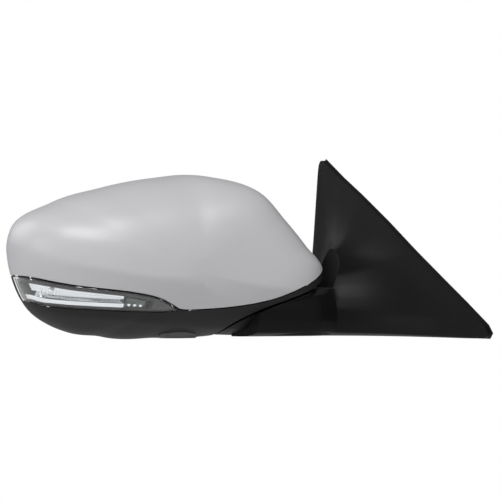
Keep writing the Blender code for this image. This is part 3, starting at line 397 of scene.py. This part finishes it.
def head_point(angle, y, offset):
    """One point of the head's envelope, moved in by an offset."""
    radius = spline_at(knots, angle)
    if y >= WIDEST_Y:
        share = min(1.0, (y - WIDEST_Y) / (RIM_Y - WIDEST_Y))
        radius = radius * (1 - RIM_SHRINK * share) - offset
        x, h = HEAD_CENTRE[0] + radius * math.cos(angle), HEAD_CENTRE[1] + radius * math.sin(angle)
        return (x, y, h)
    power = fullness(angle)
    deep = (WIDEST_Y - y) / (FRONT_DEPTH - offset)
    radius = (radius - offset) * max(0.0, 1 - deep**power) ** (1 / power)
    x, h = HEAD_CENTRE[0] + radius * math.cos(angle), HEAD_CENTRE[1] + radius * math.sin(angle)
    return (x, y + tuck(x, h) * deep, h)


ROUND_STEPS, DEPTH_STEPS = 200, 34


def envelope(name, offset=0.0, back=RIM_Y):
    rings = []
    angles = [-math.pi + 2 * math.pi * i / ROUND_STEPS for i in range(ROUND_STEPS)]
    for y in ([back] if back > RIM_Y else []) + [RIM_Y, 0.5 * (RIM_Y + WIDEST_Y)]:
        rings.append([(x, y, h) for x, _, h in (head_point(a, min(y, RIM_Y), offset) for a in angles)])
    for i in range(DEPTH_STEPS):
        share = math.sin(0.5 * math.pi * i / DEPTH_STEPS) ** 0.75
        y = WIDEST_Y - (FRONT_DEPTH - offset) * share
        rings.append([head_point(a, y, offset) for a in angles])
    front = sum(point[1] for point in rings[-1]) / ROUND_STEPS - 0.1
    return loft(name, rings, HEAD_TO_WORLD, tip=(HEAD_CENTRE[0], front, HEAD_CENTRE[1]))


FOLD_LINE = [(-64, -6), (-62, 6), (-51, 14.5), (-30, 24), (-5, 32.5), (12, 40), (24, 50), (34, 59)]
TURRET_R, FOLD_GAP, DISC_TOP = 41.0, 1.5, 18.0


def fold_curve(drop, shift):
    """The fold line drawn smooth, moved down and sideways."""
    line = [FOLD_LINE[0]]
    for i in range(1, len(FOLD_LINE)):
        (x0, h0), (x1, h1) = FOLD_LINE[i - 1], FOLD_LINE[i]
        line += [(x0 + (x1 - x0) * t, h0 + (h1 - h0) * t) for t in (0.25, 0.5, 0.75, 1.0)]
    for _ in range(3):
        threes = zip(line, line[1:], line[2:])
        inner = [tuple((a[k] + 2 * b[k] + c[k]) / 4 for k in (0, 1)) for a, b, c in threes]
        line = [line[0]] + inner + [line[-1]]
    return [(x + shift, h - drop) for x, h in line]


def below_fold(name, drop, shift):
    """Everything below the fold line, moved down and sideways."""
    line = fold_curve(drop, shift)
    outline = line + [(120, line[-1][1]), (120, -60), (line[0][0], -60)]
    return prism(name, outline, -120, 120, "y", HEAD_TO_WORLD)


def slab(name, low, high):
    """A box between two corners in the head's frame."""
    (x0, y0, h0), (x1, y1, h1) = low, high
    return prism(name, [(x0, y0), (x1, y0), (x1, y1), (x0, y1)], h0, h1, "z", HEAD_TO_WORLD)


def nose(name):
    """Front of the base below the head, flush with it along the fold line."""
    made = keep_inside(envelope(name), below_fold("nose_limit", 0.0, 0.0))
    behind = slab("behind", (-200, 0, -50), (200, 200, 200))
    return cut(made, cut(behind, prism("disc_keep", circle(TURRET_R), -60, 220, "z", HEAD_TO_WORLD)))


def shoulder(name):
    """Carries the arm's front outboard and lets it sink into the nose, so that they read as one surface."""
    start, step, count, sink_depth, sink_length = -50.0, 3.1, 22, 17.0, 49.0
    rings = []
    for i in range(count):
        x = start - step * i
        sink = sink_depth * (max(0.0, ARM_END_X - x) / sink_length) ** 1.5
        section = rounded(inset(ARM, 0.02), 3, 0.14)
        rings.append([(x, PAD_F - f + sink, h) for f, h in section])
    made = keep_inside(loft(name, rings, BASE_TO_WORLD), below_fold("shoulder_limit", 0.0, 0.0))
    return keep_inside(made, slab("shoulder_front", (-300, -120, -50), (300, -6, 200)))


def turret_prism(name, radius, low, high):
    """A round solid on the fold axis."""
    return prism(name, circle(radius, steps=128), low, high, "z", HEAD_TO_WORLD)


MOULD_GRAIN = {"grain": 0.00075, "depth": 0.00006, "vary": 0.05}
grained_black = surface(
    "grained_black", (0.0022, 0.0022, 0.0025), 0.44, **MOULD_GRAIN, mottle=0.12, Specular_IOR_Level=0.15,
)
socket = TURRET_R + FOLD_GAP
flare_x = DOOR_X - FLARE_START
stations = [DOOR_X - FLARE_START * i / 3 for i in range(1, 4)]
stations += [flare_x + (ARM_END_X - flare_x) * (i / 30) for i in range(1, 31)]
base_cover = base_loft("base_cover_skin", 0.0, DOOR_X, stations)
combine(base_cover, nose("nose"), "UNION")
combine(base_cover, shoulder("shoulder"), "UNION")
rim_r = socket - 0.6
disc_profile = [(5, 0.5), (3, 0.9), (1.2, 2.0), (0.3, 3.6), (0, 5.5), (0, DISC_TOP + 3)]
disc_rings = []
for back, height in disc_profile:
    disc_rings.append([(x, y, height) for x, y in circle(rim_r - back, steps=128)])
combine(base_cover, loft("disc", disc_rings, HEAD_TO_WORLD), "UNION")
cut(base_cover, turret_prism("scoop", socket, DISC_TOP, 220))
hollow_end = ARM_END_X + 3.0
stations = [DOOR_X + (hollow_end - DOOR_X) * (i / 24) for i in range(25)]
hollow = base_loft("cover_hollow", COVER_WALL, 5.0, stations)
combine(hollow, turret_prism("disc_hollow", rim_r - COVER_WALL, 0.5 + COVER_WALL, DISC_TOP), "UNION")
cut(hollow, turret_prism("deck", socket + COVER_WALL, DISC_TOP - COVER_WALL, 220))
cut(base_cover, hollow, turret_prism("boss_hole", 12.6, 8, DISC_TOP + 4))
for side in (-20, 20):
    at = (pivot.x + side, pivot.y)
    cut(base_cover, prism("seat", circle(4.4, at, 32), -2, 2.3, "z", BASE_TO_WORLD))
    cut(base_cover, prism("clear", circle(2.15, at, 24), -2, 6, "z", BASE_TO_WORLD))
finish_piece(base_cover, grained_black, "base", "black_housing", "base_cover", angle=30.0)


# ---------------------------------------------------------------- door gasket, bracket and fixings
# A beaded rubber strip seals the cover's edge to the door. Behind the cover a cast bracket carries three
# threaded studs, a locating pin, the harness grommet and two screws that hold the cover from below.
def repeat_group():
    """Geometry Nodes: one shape on every point, turned and sized by the point, varied a little, realised."""
    group = bpy.data.node_groups.new("repeat", "GeometryNodeTree")
    add = group.interface.new_socket
    add("Points", in_out="INPUT", socket_type="NodeSocketGeometry")
    add("Shape", in_out="INPUT", socket_type="NodeSocketObject")
    add("Look", in_out="INPUT", socket_type="NodeSocketMaterial")
    add("Jitter", in_out="INPUT", socket_type="NodeSocketFloat")
    add("Seed", in_out="INPUT", socket_type="NodeSocketInt")
    add("Geometry", in_out="OUTPUT", socket_type="NodeSocketGeometry")
    node, link = group.nodes.new, group.links.new
    given, made = node("NodeGroupInput"), node("NodeGroupOutput")
    info, place = node("GeometryNodeObjectInfo"), node("GeometryNodeInstanceOnPoints")
    link(given.outputs["Shape"], info.inputs["Object"])
    link(given.outputs["Points"], place.inputs["Points"])
    link(info.outputs["Geometry"], place.inputs["Instance"])
    turn, size = node("GeometryNodeInputNamedAttribute"), node("GeometryNodeInputNamedAttribute")
    turn.data_type = size.data_type = "FLOAT_VECTOR"
    turn.inputs["Name"].default_value, size.inputs["Name"].default_value = "turn", "size"
    link(turn.outputs["Attribute"], place.inputs["Rotation"])
    spread, scale = node("FunctionNodeRandomValue"), node("ShaderNodeVectorMath")
    less, extra = node("ShaderNodeMath"), node("ShaderNodeMath")
    less.operation, extra.operation, scale.operation = "SUBTRACT", "ADD", "SCALE"
    less.inputs[0].default_value = extra.inputs[0].default_value = 1.0
    link(given.outputs["Jitter"], less.inputs[1])
    link(given.outputs["Jitter"], extra.inputs[1])
    low, high = [s for s in spread.inputs if s.type == "VALUE" and s.name in ("Min", "Max")]
    link(less.outputs[0], low)
    link(extra.outputs[0], high)
    link(given.outputs["Seed"], spread.inputs["Seed"])
    link(size.outputs["Attribute"], scale.inputs[0])
    link([socket for socket in spread.outputs if socket.type == "VALUE"][0], scale.inputs["Scale"])
    link(scale.outputs[0], place.inputs["Scale"])
    whole, paint = node("GeometryNodeRealizeInstances"), node("GeometryNodeSetMaterial")
    link(place.outputs["Instances"], whole.inputs["Geometry"])
    link(whole.outputs["Geometry"], paint.inputs["Geometry"])
    link(given.outputs["Look"], paint.inputs["Material"])
    link(paint.outputs["Geometry"], made.inputs["Geometry"])
    return group


REPEAT = repeat_group()


def repeated(name, spots, shape, look_of_it, jitter, seed):
    """Copies of a shape at (place, turn, size) spots as one mesh, sizes in millimetres."""
    mesh = bpy.data.meshes.new(name)
    mesh.from_pydata([spot[0] for spot in spots], [], [])
    for key, column in (("turn", 1), ("size", 2)):
        values = mesh.attributes.new(key, "FLOAT_VECTOR", "POINT")
        for i, spot in enumerate(spots):
            values.data[i].vector = spot[column]
    obj = bpy.data.objects.new(name, mesh)
    bpy.context.scene.collection.objects.link(obj)
    modifier = obj.modifiers.new("repeat", "NODES")
    modifier.node_group = REPEAT
    wanted = {"Shape": shape, "Look": look_of_it, "Jitter": jitter, "Seed": seed}
    for item in REPEAT.interface.items_tree:
        if item.name in wanted:
            modifier[item.identifier] = wanted[item.name]
    bpy.context.view_layer.update()
    made = bpy.data.meshes.new_from_object(obj.evaluated_get(bpy.context.evaluated_depsgraph_get()))
    obj.modifiers.clear()
    obj.data = made
    bpy.data.objects.remove(shape, do_unlink=True)
    return obj


def ball(name, steps=16, rings=8):
    """A unit ball in metres, to be sized by each point."""
    levels = [math.pi * (i + 0.5) / rings - math.pi / 2 for i in range(rings)]
    turns = [2 * math.pi * i / steps for i in range(steps)]
    rings_made = []
    for v in levels:
        wide, high = math.cos(v), math.sin(v)
        rings_made.append([(math.cos(t) * wide, math.sin(t) * wide, high) for t in turns])
    return loft(name, rings_made, Matrix.Scale(1.0 / MM, 4))


def dress(look_of_it, *names):
    """Gives the finished look to pieces whose modelled shape is already right."""
    for name in names:
        materials = frame["nodes"][name].data.materials
        materials.clear()
        materials.append(look_of_it)


rubber = surface("soft_rubber", (0.012, 0.012, 0.012), 0.78, grain=0.0009, depth=0.00006, vary=0.06)
cast_alloy = surface(
    "cast_alloy_finish", (0.46, 0.47, 0.48), 0.46, 1.0, grain=0.0014, depth=0.00012, vary=0.08, mottle=0.08,
)
zinc_steel = surface(
    "zinc_steel_finish", (0.60, 0.61, 0.62), 0.28, 1.0, grain=0.004, depth=0.00003, vary=0.07, mottle=0.05,
)
black_moulding = surface(
    "black_moulding_finish", (0.016, 0.016, 0.017), 0.42, grain=0.0012, depth=0.00006, vary=0.06, mottle=0.10,
)
dress(rubber, "door_gasket", "harness_grommet")
dress(cast_alloy, "base_bracket")
dress(zinc_steel, "door_stud_1", "door_stud_2", "door_stud_3", "cover_screw_1", "cover_screw_2")
dress(black_moulding, "locating_pin")

edge_line = SAIL[3:13]
BEAD_PITCH, BEAD_X, BEAD_IN = 2.3, -0.62, 0.55
sail_middle = Vector((110.0, 40.0))
bead_spots = []
for (f0, h0), (f1, h1) in zip(edge_line, edge_line[1:]):
    count = max(1, round(math.hypot(f1 - f0, h1 - h0) / BEAD_PITCH))
    for i in range(count):
        f, h = f0 + (f1 - f0) * (i + 0.5) / count, h0 + (h1 - h0) * (i + 0.5) / count
        inwards = Vector((h1 - h0, -(f1 - f0))).normalized() * -BEAD_IN
        if inwards.dot(sail_middle - Vector((f, h))) < 0:
            inwards = -inwards
        place = BASE_TO_WORLD @ (Vector((BEAD_X, PAD_F - f - inwards.x, h + inwards.y)) * MM)
        bead_spots.append((place, (0.0, 0.0, 0.0), (0.00050, 0.00070, 0.00070)))
beads = repeated("gasket_beads", bead_spots, ball("bead", 10, 6), rubber, 0.06, 7)
finish_piece(beads, rubber, "base", "rubber", angle=60.0)


# ---------------------------------------------------------------- fold drive
# Inside the head a small motor turns the head about the hollow steel shaft: pinion on clutch gear, held
# down on three detent notches by a coil spring under a clip, all in a two-part plastic housing.
brass = surface("brass_finish", (0.62, 0.44, 0.19), 0.32, 1.0, vary=0.08, mottle=0.10)
dress(zinc_steel, "pivot_shaft", "detent_ring", "clutch_gear", "fold_spring", "spring_clip", "fold_motor")
dress(brass, "thrust_washer", "fold_pinion")
dress(black_moulding, "fold_drive_housing", "fold_drive_cover")


# ---------------------------------------------------------------- lower housing
# Grained black lower half of the head: it carries the lamp, folds under along its bottom edge, closes the
# head along the fold line and ends in the round turret that turns in the base's scoop.
CAP_LINE = [
    (-264.5, 53.8), (-222.9, 49.3), (-207.9, 45.2), (-192, 42), (-169, 39.2), (-150, 37.1), (-132.9, 34),
    (-121.9, 30.7), (-112.9, 26.2), (-105.1, 22), (-89.7, 22.3), (-69, 23.6), (-47.6, 26.2), (-29, 30.3),
    (-13.1, 36.5), (5.1, 44.5), (14, 50.9), (22.1, 58), (39.1, 73),
]
LENS_LINE = [
    (-106.5, 21.0), (-122, 20.2), (-141.9, 20.7), (-167, 21.8), (-192.5, 23.3), (-209.1, 25.2),
    (-217.6, 29.2), (-264.5, 30.7),
]
LENS_END_Y = 24.0


def panel(name, edge, above, gap, low=-90.0, high=90.0):
    """Everything to one side of a line in the rear view, kept back by a gap."""
    far = 210.0 if above else -60.0
    line = [(x, h + (gap if above else -gap)) for x, h in edge]
    outline = rounded(line + [(line[-1][0], far), (line[0][0], far)], 3, 0.2)
    return prism(name, outline, low, high, "y", HEAD_TO_WORLD)


def lens_prism(name, gap, end_y):
    """The lamp's opening between the cap's edge and its own lower edge, moved in by a gap."""
    outline = [point for point in CAP_LINE if point[0] < LENS_LINE[0][0]] + LENS_LINE
    return prism(name, rounded(inset(outline, gap), 3, 0.12), -90, end_y, "y", HEAD_TO_WORLD)


def end_trim(name, radius, rear):
    """Plan shape that keeps the head's rear inboard corner inside the turret's sweep."""
    corner = Vector((-45.0, rear))
    touch = math.atan2(corner.y, corner.x) - math.acos(radius / corner.length)
    outline = [(-300, rear), tuple(corner)]
    arc = [touch * (1 - i / 30) for i in range(31)]
    outline += [(radius * math.cos(a), radius * math.sin(a)) for a in arc]
    return prism(name, outline + [(radius, -80), (-300, -80)], -40, 190, "z", HEAD_TO_WORLD)


def head_shell(name):
    """The head's skin, open at the back."""
    shell = cut(envelope(name), envelope("hollow", SHELL_WALL, RIM_Y + 15))
    return keep_inside(shell, end_trim("trim", TURRET_R, RIM_Y + 1))


def fold_web(name):
    """Slanted floor that closes the head along the fold line."""
    low = [(x - 1.0, h) for x, h in fold_curve(-FOLD_GAP, 0.0) if x < 25]
    high = [(x - 2.6, h + 2.4) for x, h in low]
    web = prism(name, low + high[::-1], -100, 100, "y", HEAD_TO_WORLD)
    keep_inside(web, envelope("web_limit", SHELL_WALL / 2), panel("web_region", CAP_LINE, False, 0.5))
    keep_inside(web, end_trim("web_trim", TURRET_R - 0.5, RIM_Y))
    return cut(web, turret_prism("web_bore", TURRET_R - SHELL_WALL, -60, 200))


def turret(name):
    """Round skirt and roof that turn inside the base's scoop, with the floor under the drive."""
    low, high, thick = 20.0, 38.0, 2.4
    outer = turret_prism(name, TURRET_R, low, high)
    cut(outer, turret_prism("cup", TURRET_R - SHELL_WALL, low + thick, high - thick))
    upper = slab("upper", (-300, -100, low + thick + 1.5), (100, 100, 300))
    hollow = keep_inside(envelope("turret_hollow", SHELL_WALL, RIM_Y + 15), upper)
    return cut(outer, hollow, prism("floor_hole", circle(13.0), 0, low + thick + 1.0, "z", HEAD_TO_WORLD))


def oval(half_length, half_width, steps=72):
    return [(-93.0 + half_length * x, 4.0 + half_width * y) for x, y in circle(1.0, steps=steps)]


lower_black = surface(
    "lower_black", (0.020, 0.020, 0.021), 0.46, **MOULD_GRAIN, mottle=0.10, Specular_IOR_Level=0.12,
)
lower_housing = keep_inside(head_shell("lower_housing_skin"), panel("region", CAP_LINE, False, 0.5))
cut(lower_housing, lens_prism("lens_hole", 0.0, LENS_END_Y + 0.5), below_fold("fold_cut", -FOLD_GAP, -1.0))
combine(lower_housing, fold_web("web"), "UNION")
combine(lower_housing, turret("turret"), "UNION")
cut(lower_housing, prism("puddle_hole", oval(16.5, 10.5), -20, 12, "z", HEAD_TO_WORLD))
finish_piece(lower_housing, lower_black, "head", "black_housing", "lower_housing")


# ---------------------------------------------------------------- upper cap
# One thin painted skin over the top and front of the head, supplied in grey primer for painting. It has a
# soft crease over the lamp, and ends in a plain cut edge just above the lamp and the black housing.
primer = surface(
    "primer_finish", (0.50, 0.50, 0.515), 0.38, grain=0.0016, depth=0.000012, vary=0.04, mottle=0.015,
    Coat_Weight=0.12, Coat_Roughness=0.30,
)
upper_cap = keep_inside(head_shell("upper_cap_skin"), panel("region", CAP_LINE, True, 0.5))
cut(upper_cap, below_fold("fold_cut", -FOLD_GAP - 0.5, -1.0))
finish_piece(upper_cap, primer, "head", "primer_paint", "upper_cap")


# ---------------------------------------------------------------- turn lamp
# A clear lens wraps round the outboard end. Behind it sit a chrome reflector with upright flutes, a row of
# small LED optics on a light guide, and a dark tail with fine lines, all in a black housing.
def skin_y(x, h, offset):
    """Depth of the head's front at a place in the rear view."""
    dx, dh = x - HEAD_CENTRE[0], h - HEAD_CENTRE[1]
    angle = math.atan2(dh, dx)
    power = fullness(angle)
    share = min(0.999, math.hypot(dx, dh) / (spline_at(knots, angle) - offset))
    deep = (1 - share**power) ** (1 / power)
    return WIDEST_Y - deep * (FRONT_DEPTH - offset) + tuck(x, h) * deep


def skin_spot(x, h, offset, size, lean=None):
    """A spot on that surface: third axis out of it, second axis upright in it, or sideways with lean."""
    here = Vector((x, skin_y(x, h, offset), h))
    side = Vector((x + 0.5, skin_y(x + 0.5, h, offset), h)) - here
    rise = Vector((x, skin_y(x, h + 0.5, offset), h + 0.5)) - here
    out = side.cross(rise).normalized()
    if out.y > 0:
        out = -out
    second = (side if lean else rise).normalized()
    second = (second - out * second.dot(out)).normalized()
    basis = Matrix((second.cross(out), second, out)).transposed()
    turned = HEAD_TO_WORLD.to_3x3() @ basis
    return (HEAD_TO_WORLD @ (here * MM), tuple(turned.to_euler()), tuple(v * MM for v in size))


def lamp_layer(name, near, far, gap, end_y, x_low=-400.0, x_high=400.0):
    made = cut(envelope(name, near), envelope("under", far, RIM_Y + 15))
    keep_inside(made, lens_prism("limit", gap, end_y))
    return keep_inside(made, slab("reach", (x_low, -100, -50), (x_high, 100, 200)))


clear_lens = surface("clear_lens_finish", (0.95, 0.96, 0.965), 0.03, Transmission_Weight=1.0, IOR=1.50)
chrome = surface("chrome_finish", (0.86, 0.87, 0.885), 0.07, 1.0, vary=0.03)
circuit_green = surface("circuit_finish", (0.03, 0.15, 0.08), 0.45, grain=0.002, depth=0.00004, mottle=0.25)
lamp_lens = keep_inside(head_shell("lamp_lens_skin"), lens_prism("lens_piece", 0.5, LENS_END_Y - 0.5))
finish_piece(lamp_lens, clear_lens, "head", "clear_lens", "lamp_lens")

lamp_body = lamp_layer("lamp_body_skin", SHELL_WALL + 0.4, 15.0, 1.2, LENS_END_Y - 3)
cut(lamp_body, lamp_layer("pocket", 0.5, 13.0, 3.0, LENS_END_Y - 5, x_high=-128.8))
finish_piece(lamp_body, black_moulding, "head", "black_moulding", "lamp_body")

reflector = lamp_layer("lamp_reflector_skin", 7.2, 9.2, 3.4, LENS_END_Y - 6, x_high=-152.0)
finish_piece(reflector, chrome, "head", "chrome", "lamp_reflector")
guide = lamp_layer("lamp_light_guide_skin", 5.0, 7.5, 4.0, 0.0, -150.6, -134.6)
finish_piece(guide, clear_lens, "head", "clear_lens", "lamp_light_guide")
board = lamp_layer("led_board_skin", 9.0, 10.6, 4.0, 0.0, -150.6, -134.6)
finish_piece(board, circuit_green, "head", "heater_foil", "led_board")

ledge_line = [(x, h + 3.9) for x, h in LENS_LINE if x < -135]
ledge_region = rounded(ledge_line + [(x, h + 3.0) for x, h in reversed(ledge_line)], 2, 0.12)
ledge = lamp_layer("chrome_ledge", 3.5, 6.6, 3.4, LENS_END_Y - 6, x_high=-152.0)
keep_inside(ledge, prism("ledge_region", ledge_region, -90, 40, "y", HEAD_TO_WORLD))
finish_piece(ledge, chrome, "head", "chrome")

flute_spots = []
for i in range(27):
    x = -155.0 - 2.1 * i
    low, high = spline_at(sorted(LENS_LINE), x) + 7.4, spline_at(CAP_LINE, x) - 4.2
    flute_spots.append(skin_spot(x, (low + high) / 2, 7.1, (0.80, (high - low) / 2, 0.9)))
flutes = repeated("reflector_flutes", flute_spots, ball("flute"), chrome, 0.0, 3)
finish_piece(flutes, chrome, "head", "chrome", angle=60.0)

led_spots = [skin_spot(-147.6 + 4.6 * i, 27.0 - 0.3 * i, 4.6, (1.5, 1.5, 0.9)) for i in range(3)]
led_spots.append(skin_spot(-205.0, 38.5, 5.6, (2.3, 1.6, 1.5)))
optics = repeated("led_optics", led_spots, ball("optic", 24, 12), chrome, 0.0, 5)
finish_piece(optics, chrome, "head", "chrome", angle=60.0)

line_spots = []
for level in range(4):
    for i in range(14):
        x = -130.5 + 1.75 * i
        low, high = 22.6, spline_at(CAP_LINE, x) - 2.2
        h = low + level * 1.9
        if h < high:
            line_spots.append(skin_spot(x, h, 3.1, (0.22, 1.0, 0.20), lean=True))
tail_lines = repeated("tail_lines", line_spots, ball("bar", 8, 6), black_moulding, 0.0, 9)
finish_piece(tail_lines, black_moulding, "head", "black_moulding", angle=60.0)


# ---------------------------------------------------------------- puddle lamp
# An oval lamp in the underside lights the ground by the door: a clear lens with a softened rim, flush with
# the housing, over a small black pot.
rim_steps = [(15.2, 9.2, -1.2), (15.8, 9.8, -0.9), (16, 10, -0.3), (16, 10, 4.0)]
puddle_rings = [[(x, y, h) for x, y in oval(a, b)] for a, b, h in rim_steps]
puddle_lens = loft("puddle_lens_skin", puddle_rings, HEAD_TO_WORLD)
frosted = surface("puddle_lens_finish", (0.30, 0.30, 0.31), 0.30, Transmission_Weight=0.9, IOR=1.50)
finish_piece(puddle_lens, frosted, "head", "clear_lens", "puddle_lens")
dress(black_moulding, "puddle_body")


# ---------------------------------------------------------------- head frame and glass actuator
# A ribbed black frame across the head holds the actuator. Its two small motors push and pull the glass
# through plungers, a steel ring lets the glass tip both ways, and steel screws hold it all.
white_drive = surface("white_drive_finish", (0.62, 0.62, 0.58), 0.42, vary=0.06, mottle=0.04)
dress(black_moulding, "head_frame", "actuator_housing")
dress(zinc_steel, "pan_motor", "tilt_motor", "gimbal_ring", "drive_screw_1", "drive_screw_2")
dress(zinc_steel, "actuator_screw_1", "actuator_screw_2", "actuator_screw_3")
dress(white_drive, "pan_plunger", "tilt_plunger")


# ---------------------------------------------------------------- mirror glass
# Convex silvered glass with a ground edge, bonded through a heater foil to a plastic carrier.
GLASS_PIVOT = (-103.0, 22.0, 58.0)
GLASS_CURVE, GLASS_CREST, GLASS_THICK, GLASS_MARGIN = 1260.0, 37.5, 2.0, 10.5


def fold_height(x):
    """Height of the fold line at x, level past its ends."""
    line = fold_curve(0.0, 0.0)
    for (x0, h0), (x1, h1) in zip(line, line[1:]):
        if x0 <= x <= x1:
            return h0 + (h1 - h0) * (x - x0) / (x1 - x0)
    return line[0][1] if x < line[0][0] else line[-1][1]


def glass_outline(margin, steps=216):
    """Outline inside the rim, and above the fold line, by a margin, with its corners eased."""
    (mid_x, mid_h), reach = HEAD_CENTRE, margin + 2.0
    turns = [-math.pi + 2 * math.pi * i / steps for i in range(steps)]
    radii = []
    for a in turns:
        radius = spline_at(knots, a) * (1 - RIM_SHRINK) - margin
        while mid_h + radius * math.sin(a) < fold_height(mid_x + radius * math.cos(a) + reach) + reach:
            radius -= 0.1
        radii.append(radius)
    for _ in range(10):
        means = [(radii[i - 1] + 2 * radii[i] + radii[(i + 1) % steps]) / 4 for i in range(steps)]
        radii = [min(radius, mean) for radius, mean in zip(radii, means)]
    return [(mid_x + r * math.cos(a), mid_h + r * math.sin(a)) for r, a in zip(radii, turns)]


def crowned(x, h, crest):
    """Depth of the convex surface, whose crest is over the pivot."""
    return crest - ((x - GLASS_PIVOT[0]) ** 2 + (h - GLASS_PIVOT[2]) ** 2) / (2 * GLASS_CURVE)


def glass_sheet(name, margin, crest, thick):
    """Rings from the middle out, over the ground edge and back in behind."""
    rings = []
    edge = [(0.004, 0.0, 0.0), (0.2, 0.0, 0.0), (0.4, 0.0, 0.0), (0.6, 0.0, 0.0), (0.8, 0.0, 0.0)]
    edge += [(1.0, 0.35, 0.0), (1.0, 0.0, 0.35), (1.0, 0.0, thick - 0.35), (1.0, 0.35, thick)]
    edge += [(0.8, 0.0, thick), (0.4, 0.0, thick), (0.004, 0.0, thick)]
    for share, back, drop in edge:
        ring = []
        for x, h in glass_outline(margin + back):
            x = HEAD_CENTRE[0] + (x - HEAD_CENTRE[0]) * share
            h = HEAD_CENTRE[1] + (h - HEAD_CENTRE[1]) * share
            ring.append((x, crowned(x, h, crest) - drop, h))
        rings.append(ring)
    return loft(name, rings, HEAD_TO_WORLD)


silvered = surface("silvered_glass", (0.84, 0.865, 0.875), 0.015, 1.0)
mirror_glass = glass_sheet("mirror_glass_skin", GLASS_MARGIN, GLASS_CREST, GLASS_THICK)
finish_piece(mirror_glass, silvered, "glass", "mirror", "mirror_glass", angle=25.0)
dress(circuit_green, "glass_heater")
dress(black_moulding, "glass_carrier")


# ---------------------------------------------------------------- bezel
# A black ring with a rounded lip fills the gap between the glass and the head's rim.
lip = [(0.9, 43.5), (0.35, 43.2), (0.0, 42.4), (0.0, 29.0)]
BEZEL_OUTER, BEZEL_INNER = 3.4, 8.0
lip_rings = [[(x, y, h) for x, h in glass_outline(BEZEL_OUTER + back)] for back, y in lip]
bezel = loft("bezel_skin", lip_rings, HEAD_TO_WORLD)
mouth = [(-1.2, 48.5), (-1.0, 43.5), (-0.3, 42.9), (0.0, 41.8), (0.0, 26.5)]
mouth_rings = [[(x, y, h) for x, h in glass_outline(BEZEL_INNER + back)] for back, y in mouth]
cut(bezel, loft("bezel_hole", mouth_rings, HEAD_TO_WORLD))
keep_inside(bezel, end_trim("bezel_trim", TURRET_R - 2.0, RIM_Y))
finish_piece(bezel, black_moulding, "head", "black_housing", "bezel")
